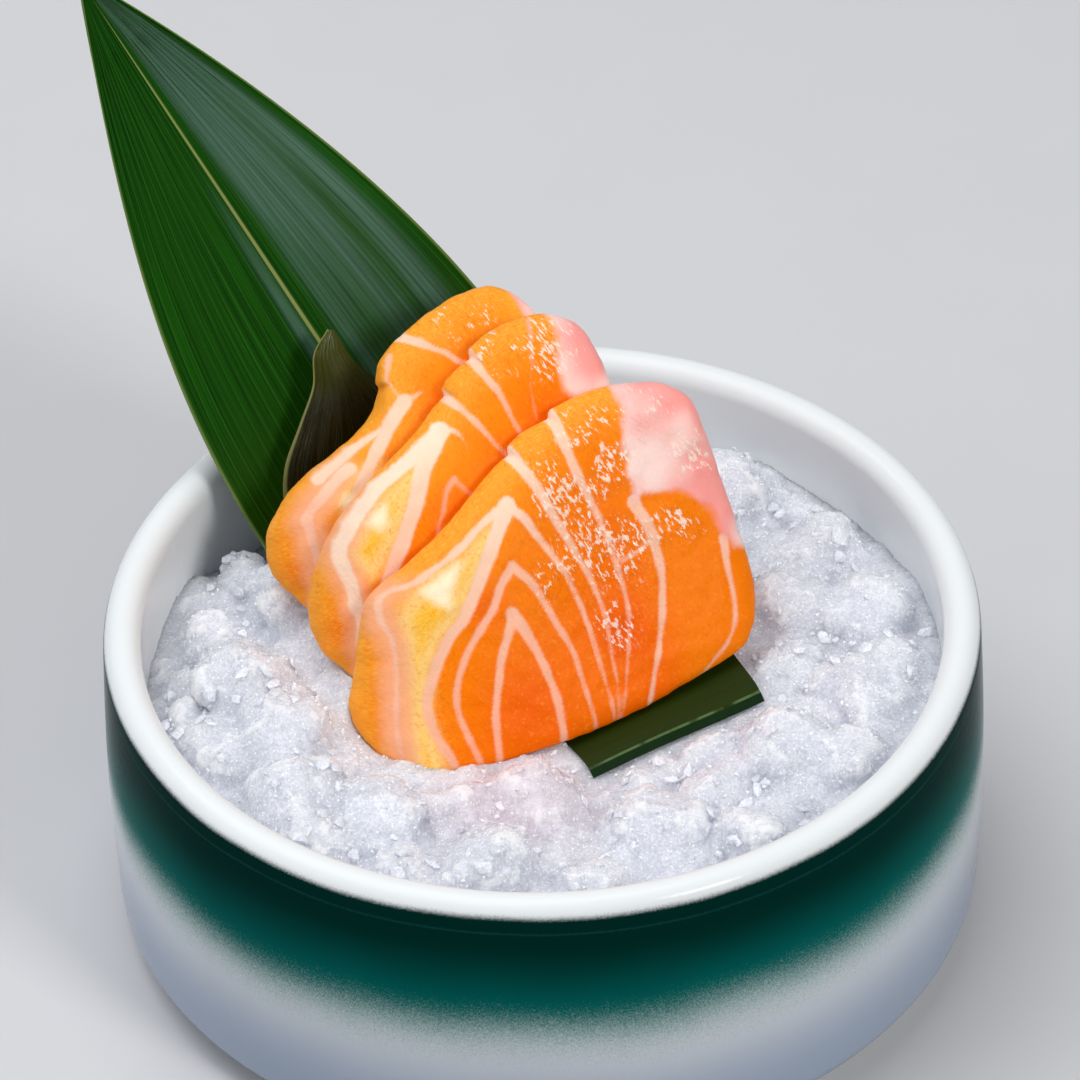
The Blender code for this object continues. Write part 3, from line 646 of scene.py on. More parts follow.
def paintSlice(obj, name):
    # writes where the seams, the fat and the lighter flesh lie, and where painted light, painted shade and painted
    # highlights go; sinks the seams and steps the contour
    facts = slices[name]
    across, up, out = (np.array(axis) for axis in planeAxes(stack["turn"], stack["lean"]))
    points = vertexArray(obj)
    local = points / mm - np.array(stack["foot"])
    spots = np.stack([local @ across, local @ up], axis=1)
    count = len(spots)
    wave = np.array([noise.noise(Vector((u, w, 3.0)) * relief["wave"]) for u, w in spots])
    ragged = np.array([noise.noise(Vector((u, w, 7.0)) * relief["ragged"]) for u, w in spots])
    seam, pale, weight = np.full(count, -9.0), np.zeros(count), np.zeros(count)
    for curve, widths, paleness in facts["seams"]:
        away, share = curveDistance(curve, spots)
        half = 0.5 * (widths[0] + (0.6 * widths[1] - widths[0]) * share**0.5)
        edge = half - away - relief["seamInset"] + relief["seamWave"] * wave + relief["seamRagged"] * ragged
        seam = np.maximum(seam, edge)
        strength = np.exp(-(away / 2.0)**2) + 1e-6
        pale += strength * (paleness[0] + (paleness[1] - paleness[0]) * share**0.5)
        weight += strength
    # the gold is paler flesh, partly painted light
    fields = {
        "seam": seam, "pale": pale / weight, "gold": insideDistance(facts["gold"], spots),
        "fat": insideDistance(facts["fat"], spots) + 0.8 * wave + 0.3 * ragged,
        # the glint is a painted highlight
        "glint": insideDistance(facts["glint"], spots) + 0.4 * ragged,
    }
    # deep spots are partly painted shade; wet spots get a real coat and a painted highlight
    for kind in ("deep", "wet"):
        fields[kind] = np.zeros(count)
        for u, w, size in facts[kind]:
            nearby = np.exp(-((spots[:, 0] - u)**2 + (spots[:, 1] - w)**2) / size**2)
            fields[kind] = np.maximum(fields[kind], nearby)
    # the flesh is redder low in the stack, but not at its right end
    low = np.clip((spots[:, 0] - spots[:, 1] + 55) / 60, 0, 1)
    fields["low"] = low * (1 - 0.6 * np.clip((spots[:, 0] - 12) / 8, 0, 1))
    # a band of painted light along the top and left contour
    fields["contour"] = np.zeros(count)
    for side, width in relief["contour"]:
        line = np.array([alongPoints(facts[side], k / 60) for k in range(61)])
        nearest = np.min(np.linalg.norm(spots[:, None, :] - line[None, :, :], axis=2), axis=1)
        fields["contour"] = np.maximum(fields["contour"], np.exp(-(nearest / width)**2))
    end = np.clip((relief["endStart"] - spots[:, 0]) / relief["endRun"], 0, 1)
    rose = np.zeros(count)
    for index, half in facts["rose"]:
        away = curveDistance(facts["seams"][index][0], spots)[0]
        rose = np.maximum(rose, np.clip((half - away + 0.5 * wave) / 2.0 + 0.5, 0, 1))
    fields["end"], fields["rose"] = end, rose * end
    for kind, values in fields.items():
        floatAttribute(obj, kind, values)
    height = (-relief["seamDepth"] * np.clip(seam + 0.5, 0, 1) + relief["waveHeight"] * wave
              + relief["raggedHeight"] * ragged)
    shift = contourSteps(facts, spots)
    moved = points + (shift[:, :1] * across + shift[:, 1:] * up) * mm
    putVertices(obj, moved + normalArray(obj) * height[:, None] * mm)
    layer = obj.data.uv_layers.new(name="plane")
    corners = np.empty(len(obj.data.loops), dtype=np.int32)
    obj.data.loops.foreach_get("vertex_index", corners)
    layer.data.foreach_set("uv", (spots[corners] / 100).astype(np.float32).ravel())


def salmonMaterial():
    material, tree, shader = newMaterial("salmon")
    place = coordinates(tree)
    plane = coordinates(tree, "UV")
    leaning = tree.nodes.new("ShaderNodeVectorRotate")
    leaning.rotation_type = "Z_AXIS"
    tree.links.new(plane, leaning.inputs["Vector"])
    leaning.inputs["Angle"].default_value = flesh["fibreTurn"]
    fibres = streaks(tree, leaning.outputs["Vector"], (105.0, 34.0, 1.0), 3.0, 0.65)
    threads = streaks(tree, plane, (60.0, 260.0, 1.0), 2.0, 0.5)
    grain = noiseValue(tree, place, 1500.0, 2.0, 0.5)
    broad = noiseValue(tree, place, 60.0, 2.0)
    contour, gold, wet = (attribute(tree, kind) for kind in ("contour", "gold", "wet"))
    # the flesh, redder low in the stack and lighter along its contour, where light is painted on the rolled edge;
    # lighter threads show only there and at the left end
    outer = calc(tree, "MAXIMUM", contour, attribute(tree, "end"))
    colour = layered(
        tree, blendColour(tree, attribute(tree, "low"), *flesh["low"]),
        (stepUp(tree, broad, 0.35, 0.7), 0.45, flesh["patch"]),
        # deeper orange, partly painted shade
        (attribute(tree, "deep"), 0.55, flesh["deep"]),
        (contour, 0.8, flesh["contour"]),
        (stepUp(tree, threads, 0.5, 0.6), times(tree, outer, 0.45), flesh["thread"]))
    # the gold: paler flesh, partly its own colour and partly painted light
    goldAndLightColour = layered(
        tree, blendColour(tree, stepUp(tree, gold, 1.0, 3.6), *flesh["gold"]),
        (stepUp(tree, threads, 0.52, 0.66), 0.5, flesh["goldAndLightThread"]))
    colour = layered(
        tree, blendColour(tree, stepUp(tree, gold, -2.0, 1.6), colour, goldAndLightColour),
        (stepUp(tree, grain, 0.56, 0.70), 0.4, flesh["grain"]),
        (stepUp(tree, fibres, 0.46, 0.30), 0.35, flesh["fibre"]),
        (attribute(tree, "rose"), 0.8, flesh["rose"]))
    # the seams, the pink fat and the bright spot in the gold, a painted highlight
    seamEdge = plus(tree, attribute(tree, "seam"), swing(tree, threads, 0.6))
    seamColour = blendColour(tree, attribute(tree, "pale"), *flesh["seam"])
    colour = layered(tree, colour, (stepUp(tree, seamEdge, -0.40, 0.30), 0.92, seamColour))
    fatEdge = plus(tree, attribute(tree, "fat"), swing(tree, broad, 3.0))
    fatColour = blendColour(tree, stepUp(tree, broad, 0.36, 0.60), *flesh["fat"])
    colour = blendColour(tree, stepUp(tree, fatEdge, -1.0, 1.0), colour, fatColour)
    colour = layered(tree, colour, (stepUp(tree, attribute(tree, "glint"), -1.6, 1.0), 0.85, flesh["glint"]))
    # short wet strokes in clusters, broken as the fibres are: a real coat there, and a painted highlight laid into
    # the base colour
    gloss = times(tree, wet, stepUp(tree, noiseValue(tree, place, 150.0, 2.0), 0.34, 0.56))
    strokes = plus(tree, fibres, times(tree, gloss, 0.16))
    wetSheenShare = times(tree, stepUp(tree, strokes, 0.63, 0.70),
                     times(tree, stepUp(tree, gloss, 0.1, 0.5), 0.8))
    tree.links.new(blendColour(tree, wetSheenShare, colour, flesh["wet"]), shader.inputs["Base Color"])
    shader.inputs["Subsurface Weight"].default_value = flesh["depth"]
    shader.inputs["Subsurface Radius"].default_value = (1.0, 0.35, 0.15)
    shader.inputs["Subsurface Scale"].default_value = flesh["depthScale"]
    shader.inputs["Roughness"].default_value = flesh["roughness"]
    shader.inputs["Specular IOR Level"].default_value = flesh["shine"]
    tree.links.new(plus(tree, times(tree, wetSheenShare, 0.8), times(tree, gloss, 0.12)),
                   shader.inputs["Coat Weight"])
    shader.inputs["Coat Roughness"].default_value = 0.06
    shader.inputs["Coat IOR"].default_value = 1.5
    height = times(tree, plus(tree, fibres, times(tree, grain, 0.12)), plus(tree, 0.35, wet))
    normal = bumped(tree, shader, height, flesh["ripple"])
    tree.links.new(normal, shader.inputs["Coat Normal"])
    return material


salmon = salmonMaterial()
for order, name in enumerate(slices):
    piece = makeSlice(name, order * stack["spacing"])
    paintSlice(piece, name)
    finishPiece(piece, salmon, "salmon", name)
    print(name, len(piece.data.polygons))


# leaves, in millimetres, with their colours as read off a screen
tall = {
    "foot": Vector((-46.5, 29.0, 48.5)), "turn": math.radians(26), "lean": math.radians(30),
    "base": Vector((36.0, -14.0)), "tip": Vector((-6.5, 108.5)), "halfWidth": 29.4, "widest": 0.2,
    "taper": 1.8, "fold": 2.6, "wave": 0.9, "waves": 1.25, "baseShare": 0.6, "thickness": 0.45,
    "ribHeight": 0.5, "ribWidth": 0.8, "veinHeight": 0.10, "veins": 13,
    "green": ((8, 50, 2), (26, 86, 6)), "footColour": (38, 60, 2), "vein": (56, 118, 44),
    # the bluish colour on the right half is a painted sheen
    "paintedSheen": (92, 128, 116), "rib": (164, 172, 100), "edge": (130, 150, 80),
    "roughness": 0.42, "shine": 0.06, "sheenShine": 0.24, "ripple": 0.00018,
}
dark = {
    "foot": Vector((-44.5, 28.0, 54.0)), "turn": math.radians(24), "lean": math.radians(26),
    "left": [(2, -7), (1.5, 4), (3, 12), (7.5, 19), (11.5, 25), (13, 30.5), (16.5, 34)],
    "right": [(32, -7), (33, 6), (30, 16), (25, 21), (20, 27), (17.5, 33.5)],
    "cup": 3.5, "thickness": 0.45, "veinHeight": 0.07, "veins": 9,
    "brown": ((12, 11, 0), (40, 36, 2)), "tip": (66, 72, 14), "rim": (150, 150, 90),
    "roughness": 0.18, "shine": 0.3, "ripple": 0.0003,
}
strip = {
    "start": Vector((8.0, -27.0, 47.3)), "end": Vector((37.5, -12.3, 50.8)), "width": 13.0,
    "rise": (-1.3, 0.7), "curl": 1.4, "thickness": 0.45, "waveHeight": 0.25, "waves": 0.8,
    "green": ((22, 34, 0), (40, 54, 4)), "under": (6, 36, 4), "crease": (92, 120, 74), "creaseAt": 0.12,
    "roughness": 0.45, "shine": 0.08, "ripple": 0.0001,
}


def tallPoint(i, j):
    across, up, out = planeAxes(tall["turn"], tall["lean"])
    rib = (tall["tip"] - tall["base"]).normalized()
    side = Vector((rib.y, -rib.x))
    past = max(0.0, (j - tall["widest"]) / (1 - tall["widest"]))
    half = tall["halfWidth"] * min(1.0, tall["baseShare"] + 2 * j) * max(0.02, 1 - past**tall["taper"])
    spot = tall["base"] + (tall["tip"] - tall["base"]) * j + side * half * (2 * i - 1)
    away = abs(2 * i - 1)
    fold = tall["fold"] * (1 - away) * (1 - 0.5 * j)
    wave = tall["wave"] * math.sin(math.tau * tall["waves"] * j + 2 * (2 * i - 1)) * away
    # the midrib stands a little proud, the veins ripple the blade
    fold -= tall["ribHeight"] * math.exp(-(half * (2 * i - 1) / tall["ribWidth"])**2)
    fold += tall["veinHeight"] * math.sin(math.tau * tall["veins"] * away) * min(1.0, 4 * away)
    return tall["foot"] + across * spot.x + up * spot.y - out * (fold + wave)


def darkPoint(i, j):
    across, up, out = planeAxes(dark["turn"], dark["lean"])
    spot = alongPoints(dark["left"], j) * (1 - i) + alongPoints(dark["right"], j) * i
    cup = dark["cup"] * (1 - (2 * i - 1)**2) * (1 - j**2)
    cup += dark["veinHeight"] * math.sin(math.tau * dark["veins"] * i)
    return dark["foot"] + across * spot.x + up * spot.y + out * cup


def stripPoint(i, j):
    run = strip["end"] - strip["start"]
    inward = Vector((-run.y, run.x, 0)).normalized()
    rise = strip["rise"][0] + (strip["rise"][1] - strip["rise"][0]) * j
    curl = strip["curl"] * max(0.0, 1 - 3 * i)**2
    lift = strip["waveHeight"] * math.sin(math.tau * strip["waves"] * j) * (1 - i)
    return strip["start"] + run * j + inward * strip["width"] * i + Vector((0, 0, rise * i - curl + lift))


def makeLeaf(name, point, acrossSteps, alongSteps, thickness):
    startObjectMode()
    bpy.ops.mesh.primitive_grid_add(x_subdivisions=acrossSteps, y_subdivisions=alongSteps, size=1)
    obj = bpy.context.object
    obj.name = name
    shares = [(vert.co.x + 0.5, vert.co.y + 0.5) for vert in obj.data.vertices]
    layer = obj.data.uv_layers[0]
    for loop in obj.data.loops:
        layer.data[loop.index].uv = shares[loop.vertex_index]
    for vert, (i, j) in zip(obj.data.vertices, shares):
        vert.co = point(i, j) * mm
    modifier = obj.modifiers.new("Thickness", "SOLIDIFY")
    modifier.thickness = thickness * mm
    modifier.offset = 0.0
    applyAll(obj)
    smoothShade(obj, 50)
    return obj


def tallMaterial():
    # dark green with parallel veins, a pale midrib and a painted bluish sheen on the right half
    material, tree, shader = newMaterial("tall_leaf")
    flat = coordinates(tree, "UV")
    i, j = separated(tree, flat)[:2]
    away = calc(tree, "ABSOLUTE", minus(tree, i, 0.5))
    lines = streaks(tree, flat, (170.0, 3.0, 1.0))
    broad = streaks(tree, flat, (14.0, 2.2, 1.0), 2.0, 0.5)
    ribs = calc(tree, "SINE", times(tree, i, math.tau * 60))
    veins = stepUp(tree, calc(tree, "SINE", times(tree, i, math.tau * 26)), 0.93, 1.0)
    # the sheen, painted into the colour and raised in the specular level, covers the middle of the right half and a
    # narrow strip left of the midrib
    right = times(tree, stepUp(tree, i, 0.53, 0.61), stepUp(tree, i, 0.97, 0.90))
    beside = times(tree, stepUp(tree, i, 0.43, 0.46), stepUp(tree, i, 0.496, 0.48))
    beside = times(tree, beside, stepUp(tree, j, 0.72, 0.45))
    shiny = calc(tree, "MAXIMUM", right, beside)
    paintedSheen = times(tree, shiny, stepUp(tree, broad, 0.30, 0.70))
    paintedSheen = times(tree, paintedSheen, plus(tree, 0.25, times(tree, lines, 0.7)))
    green = blendColour(tree, stepUp(tree, lines, 0.3, 0.7), *tall["green"])
    green = blendColour(tree, stepUp(tree, j, 0.45, 0.1), green, tall["footColour"])
    green = layered(
        tree, green,
        (veins, 0.3, tall["vein"]),
        (paintedSheen, 0.75, tall["paintedSheen"]),
        (minus(tree, 1.0, stepUp(tree, away, 0.003, 0.008)), 0.7, tall["rib"]),
        (stepUp(tree, away, 0.488, 0.497), 0.6, tall["edge"]))
    tree.links.new(green, shader.inputs["Base Color"])
    shader.inputs["Roughness"].default_value = tall["roughness"]
    tree.links.new(plus(tree, tall["shine"], times(tree, shiny, tall["sheenShine"])),
                   shader.inputs["Specular IOR Level"])
    bumped(tree, shader, plus(tree, times(tree, ribs, 0.25), times(tree, lines, 0.8)), tall["ripple"])
    return material


def darkMaterial():
    # nearly black brown, lighter at the tip, with a pale line along the left edge
    material, tree, shader = newMaterial("dark_leaf")
    flat = coordinates(tree, "UV")
    i, j = separated(tree, flat)[:2]
    lines = streaks(tree, flat, (40.0, 3.0, 1.0))
    colour = blendColour(tree, lines, *dark["brown"])
    colour = blendColour(tree, stepUp(tree, j, 0.62, 0.98), colour, dark["tip"])
    rim = minus(tree, 1.0, stepUp(tree, i, 0.012, 0.03))
    tree.links.new(layered(tree, colour, (rim, 0.6, dark["rim"])), shader.inputs["Base Color"])
    shader.inputs["Roughness"].default_value = dark["roughness"]
    shader.inputs["Specular IOR Level"].default_value = dark["shine"]
    bumped(tree, shader, lines, dark["ripple"])
    return material


def stripMaterial():
    # dark green with a broken pale crease near the front edge
    material, tree, shader = newMaterial("leaf_strip")
    flat = coordinates(tree, "UV")
    i = separated(tree, flat)[0]
    lines = streaks(tree, flat, (60.0, 2.0, 1.0))
    fromCrease = calc(tree, "ABSOLUTE", minus(tree, i, strip["creaseAt"]))
    crease = minus(tree, 1.0, stepUp(tree, fromCrease, 0.008, 0.024))
    broken = stepUp(tree, streaks(tree, flat, (1.0, 7.0, 1.0), 3.0, 0.5), 0.36, 0.55)
    colour = layered(
        tree, blendColour(tree, lines, *strip["green"]),
        (crease, times(tree, broken, 0.7), strip["crease"]))
    colour = blendColour(tree, stepUp(tree, i, 0.11, 0.09), colour, strip["under"])
    tree.links.new(colour, shader.inputs["Base Color"])
    shader.inputs["Roughness"].default_value = strip["roughness"]
    shader.inputs["Specular IOR Level"].default_value = strip["shine"]
    bumped(tree, shader, lines, strip["ripple"])
    return material


leaves = [
    ("blade_tall", tallPoint, 104, 90, tall["thickness"], tallMaterial(), "leaf", "leaf_tall"),
    ("blade_dark", darkPoint, 40, 40, dark["thickness"], darkMaterial(), "dark_leaf", "leaf_dark"),
    ("blade_strip", stripPoint, 36, 40, strip["thickness"], stripMaterial(), "dark_leaf", "leaf_strip"),
]
for name, point, acrossSteps, alongSteps, thickness, material, slotName, node in leaves:
    piece = makeLeaf(name, point, acrossSteps, alongSteps, thickness)
    finishPiece(piece, material, slotName, node)
    print(name, len(piece.data.polygons))


# ice, in millimetres
ice = {
    "cut": 30.0, "still": 3.0, "voxel": 0.62, "smoothing": 5, "seed": 5, "wall": 68.6, "rim": 67.2,
    # the surface stays put this near to other pieces and is free this much farther out
    "near": 0.3, "freed": 1.8,
    # rounds of averaging that show the broad, the small and the filled form
    "broadRounds": 60, "smallRounds": 10, "filledRounds": 5,
    # hollows deeper than the first are filled by up to the second, and what is left is made flatter
    "hollow": 0.6, "filled": 1.6, "flatter": 0.1, "moved": 1.8, "planed": 1.2,
    # plates of fused crystals: spacing, step, tilt and how ragged their edges are
    "plates": [(12.0, 0.8, 0.12, 3.0), (5.0, 0.35, 0.12, 1.6)],
    # flat faces: spacing, how flat and how ragged
    "faces": [(6.0, 0.6, 1.2), (3.0, 0.6, 0.8), (1.6, 0.3, 0.4)],
    # the small broken edges on top: spacing, step, tilt and ragged
    "crumbs": (2.1, 0.15, 0.16, 0.8),
}
loose = {
    # flakes and grains: how many, their sizes, how far they sit out of the bed and how much they lean
    "flakes": (420, (1.4, 3.6), (-0.1, 0.06), 0.6), "grains": (4200, (0.4, 1.0), (-0.3, 0.1), 3.1),
    "lowest": 37.0, "radius": 66.0, "level": 0.1, "flatShare": 0.3, "smaller": 1.6, "clearance": 0.62,
    "long": (0.85, 1.2), "wide": (0.6, 1.0),
}
frost = {
    # colours as read off a screen, dull and bright, with the depth light goes in and the bump's height
    "bed": ((209, 212, 221), (221, 223, 232), 1.0, 0.00018),
    "flakes": ((216, 219, 228), (230, 233, 241), 0.0, 0.00006),
    "grains": ((222, 226, 235), (246, 248, 254), 0.0, 0.00005),
    "sugar": ((240, 242, 249), (190, 194, 205)), "grain": ((244, 246, 251), (192, 195, 205)),
    # the ridge colours are painted shade for the hollows and painted light for the sharp edges; the spark colour is a
    # painted glint
    "paintedSpark": (255, 255, 255), "ridge": ((192, 195, 203), (246, 247, 252)),
    "blush": (240, 204, 206), "blushPlace": (-0.006, -0.034, 0.050), "blushReach": (0.020, 0.006),
    "roughness": 0.12, "bending": 1.31, "depthScale": 0.009,
}


def treeOf(objects):
    bm = bmesh.new()
    for obj in objects:
        bm.from_mesh(obj.data)
    tree = BVHTree.FromBMesh(bm)
    bm.free()
    return tree


def cutAt(obj, height, keepUpper):
    makeActive(obj)
    bpy.ops.object.mode_set(mode="EDIT")
    bpy.ops.mesh.select_all(action="SELECT")
    bpy.ops.mesh.bisect(plane_co=(0, 0, height * mm), plane_no=(0, 0, 1), use_fill=True,
                        clear_inner=keepUpper, clear_outer=not keepUpper)
    bpy.ops.object.mode_set(mode="OBJECT")


def edgeArray(obj):
    out = np.empty(len(obj.data.edges) * 2, dtype=np.int32)
    obj.data.edges.foreach_get("vertices", out)
    return out.reshape(-1, 2)


def relaxed(points, edges, rounds):
    # the points after averaging each with its neighbours a few times
    a, b = edges[:, 0], edges[:, 1]
    count = np.bincount(a, minlength=len(points)) + np.bincount(b, minlength=len(points))
    for step in range(rounds):
        total = np.stack([np.bincount(a, points[b, k], len(points)) + np.bincount(b, points[a, k], len(points))
                          for k in range(3)], axis=1)
        points = 0.5 * points + 0.5 * total / np.maximum(count, 1)[:, None]
    return points


def cellOwners(points, spacing, ragged, draw):
    # cells of about that size on the surface, with ragged borders: the owner of each point, and the seeds
    count = int(len(points) * (ice["voxel"] / spacing)**2 * 1.3)
    seeds = points[draw.choice(len(points), count, replace=False)] / mm
    tree = KDTree(count)
    for index, seed in enumerate(seeds):
        tree.insert(seed, index)
    tree.balance()
    owner = np.empty(len(points), dtype=int)
    for index, point in enumerate(points / mm):
        place = Vector(point)
        bent = place + ragged * noise.noise_vector(place * 0.45)
        bent += 0.4 * ragged * noise.noise_vector(place * 1.3)
        owner[index] = tree.find(bent)[1]
    return owner, seeds


def plated(points, normals, spacing, step, tilt, ragged, draw):
    # how far each point moves so that the surface breaks into raised and tilted plates
    owner, seeds = cellOwners(points, spacing, ragged, draw)
    lift = draw.uniform(-step, step, len(seeds))
    lean = draw.normal(0, tilt, (len(seeds), 3))
    away = points / mm - seeds[owner]
    flat = away - normals * np.sum(away * normals, axis=1)[:, None]
    return lift[owner] + np.clip(np.sum(flat * lean[owner], axis=1), -step, step)


def planed(points, normals, spacing, share, ragged, draw):
    # each point part of the way onto its cell's mean plane, which breaks round lumps into flat faces
    owner, seeds = cellOwners(points, spacing, ragged, draw)
    count = np.maximum(np.bincount(owner, minlength=len(seeds)), 1)[:, None]
    middle, facing = (np.stack([np.bincount(owner, array[:, k], len(seeds)) for k in range(3)], axis=1) / count
                      for array in (points, normals))
    facing /= np.maximum(np.linalg.norm(facing, axis=1), 1e-6)[:, None]
    height = np.sum((points - middle[owner]) * facing[owner], axis=1)
    most = ice["planed"] * mm
    return -share * np.clip(height, -most, most)[:, None] * facing[owner]


def standing(points, normals, edges, rounds):
    # how far each point stands out of the averaged surface
    return np.sum((points - relaxed(points, edges, rounds)) * normals, axis=1) / mm


def makeIceBed(others):
    # the heap's own surface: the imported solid's form, remeshed and broken into plates
    bed = cadCopy("ice", "ice_bed")
    cutAt(bed, ice["cut"], True)
    modifier = bed.modifiers.new("Remesh", "REMESH")
    modifier.mode = "VOXEL"
    modifier.voxel_size = ice["voxel"] * mm
    applyAll(bed)
    modifier = bed.modifiers.new("Smooth", "SMOOTH")
    modifier.factor = 0.5
    modifier.iterations = ice["smoothing"]
    applyAll(bed)
    points, normals, edges = vertexArray(bed), normalArray(bed), edgeArray(bed)
    lowest = (ice["cut"] + ice["still"]) * mm
    free = np.zeros(len(points))
    for index, point in enumerate(points):
        if point[2] > lowest:
            gap = others.find_nearest(Vector(point), 3 * mm)[3]
            share = 1.0 if gap is None else (gap - ice["near"] * mm) / (ice["freed"] * mm)
            free[index] = max(0.0, min(1.0, share))
    draw = np.random.default_rng(ice["seed"])
    noise.seed_set(ice["seed"])   # noise_vector takes its offsets from the clock otherwise
    # the deep holes are filled first, then the lumps are made flatter
    for step in range(2):
        hollow = -standing(points, normals, edges, ice["broadRounds"])
        filled = points + normals * (np.clip(hollow - ice["hollow"], 0, ice["filled"]) * free)[:, None] * mm
        points = points + (relaxed(filled, edges, ice["filledRounds"]) - points) * free[:, None]
        putVertices(bed, points)
        normals = normalArray(bed)
    move = ice["flatter"] * -standing(points, normals, edges, ice["broadRounds"])
    for spacing, step, tilt, ragged in ice["plates"]:
        move += plated(points, normals, spacing, step, tilt, ragged, draw)
    points = points + normals * (np.clip(move, -ice["moved"], ice["moved"]) * free)[:, None] * mm
    for spacing, share, ragged in ice["faces"]:
        points = points + planed(points, normals, spacing, share, ragged, draw) * free[:, None]
    points = relaxed(points, edges, 1)
    points = points + normals * (plated(points, normals, *ice["crumbs"], draw) * free)[:, None] * mm
    # the outermost ring is pushed against the bowl's wall
    radius = np.hypot(points[:, 0], points[:, 1])
    rim = (radius > ice["rim"] * mm) & (points[:, 2] > lowest)
    points[rim, :2] *= (ice["wall"] * mm / radius[rim])[:, None]
    putVertices(bed, points)
    ridge = standing(points, normals, edges, ice["smallRounds"])
    ridge += 0.5 * standing(points, normals, edges, ice["broadRounds"])
    # the ring against the wall gets no painted ridge light, and a little painted shade
    ridge = np.where(np.hypot(points[:, 0], points[:, 1]) > ice["rim"] * mm, -0.5, ridge)
    floatAttribute(bed, "ridge", ridge)
    # the faces against the floor of the cut and against the bowl's wall are hidden
    bm = bmesh.new()
    bm.from_mesh(bed.data)
    hidden = []
    for face in bm.faces:
        low = face.calc_center_median().z < (ice["cut"] + 0.6) * mm and face.normal.z < -0.5
        if low or all(vert.co.xy.length > (ice["wall"] - 0.05) * mm for vert in face.verts):
            hidden.append(face)
    bmesh.ops.delete(bm, geom=hidden, context="FACES")
    bm.to_mesh(bed.data)
    bm.free()
    smoothShade(bed)
    return bed


def makeCrystal(index, rough, thickness):
    startObjectMode()
    bpy.ops.mesh.primitive_ico_sphere_add(subdivisions=1, radius=0.5)
    obj = bpy.context.object
    obj.name = "crystal_%d" % index
    for vert in obj.data.vertices:
        way = vert.co.normalized()
        shift = Vector((index * 7.3, 0, 0))
        vert.co *= 1 + rough * (noise.noise(way * 1.7 + shift) + 0.6 * noise.noise(way * 4.5 + shift))
        vert.co.z *= thickness
    return obj


def scattered(name, bed, others, kinds, count, sizes, spread, tumble):
    # copies of a few crystals set into the bed's upper side, joined as one mesh
    draw = np.random.default_rng(ice["seed"] + count)
    points = vertexArray(bed)
    normals = normalArray(bed)
    ridge = np.empty(len(points), dtype=np.float32)
    bed.data.attributes["ridge"].data.foreach_get("value", ridge)
    radius = np.hypot(points[:, 0], points[:, 1])
    usable = np.flatnonzero((normals[:, 2] > loose["level"]) & (points[:, 2] > loose["lowest"] * mm)
                            & (radius < loose["radius"] * mm))
    # most of them sit along the sharp edges
    weight = loose["flatShare"] + np.clip(ridge[usable], 0, 1.0)
    picked = draw.choice(usable, size=count, replace=False, p=weight / weight.sum())
    shapes = [(vertexArray(kind), [tuple(face.vertices) for face in kind.data.polygons]) for kind in kinds]
    verts, faces, total = [], [], 0
    for index in picked:
        size = sizes[0] + (sizes[1] - sizes[0]) * draw.random()**loose["smaller"]
        place = points[index] / mm + normals[index] * size * draw.uniform(*spread)
        if others.find_nearest(Vector(place * mm), size * loose["clearance"] * mm)[3] is not None:
            continue
        shape, loops = shapes[draw.integers(len(shapes))]
        lying = Vector(normals[index]).to_track_quat("Z", "Y").to_matrix()
        turn = np.array(lying @ Matrix.Rotation(draw.uniform(-tumble, tumble), 3, "X")
                        @ Matrix.Rotation(draw.uniform(0, math.tau), 3, "Z"))
        stretch = np.array([size * draw.uniform(*loose["long"]), size * draw.uniform(*loose["wide"]), size])
        moved = ((shape * stretch) @ turn.T + place) * mm
        verts.append(moved)
        faces += [tuple(corner + total for corner in loop) for loop in loops]
        total += len(moved)
    return objectFromArrays(name, np.concatenate(verts), faces)


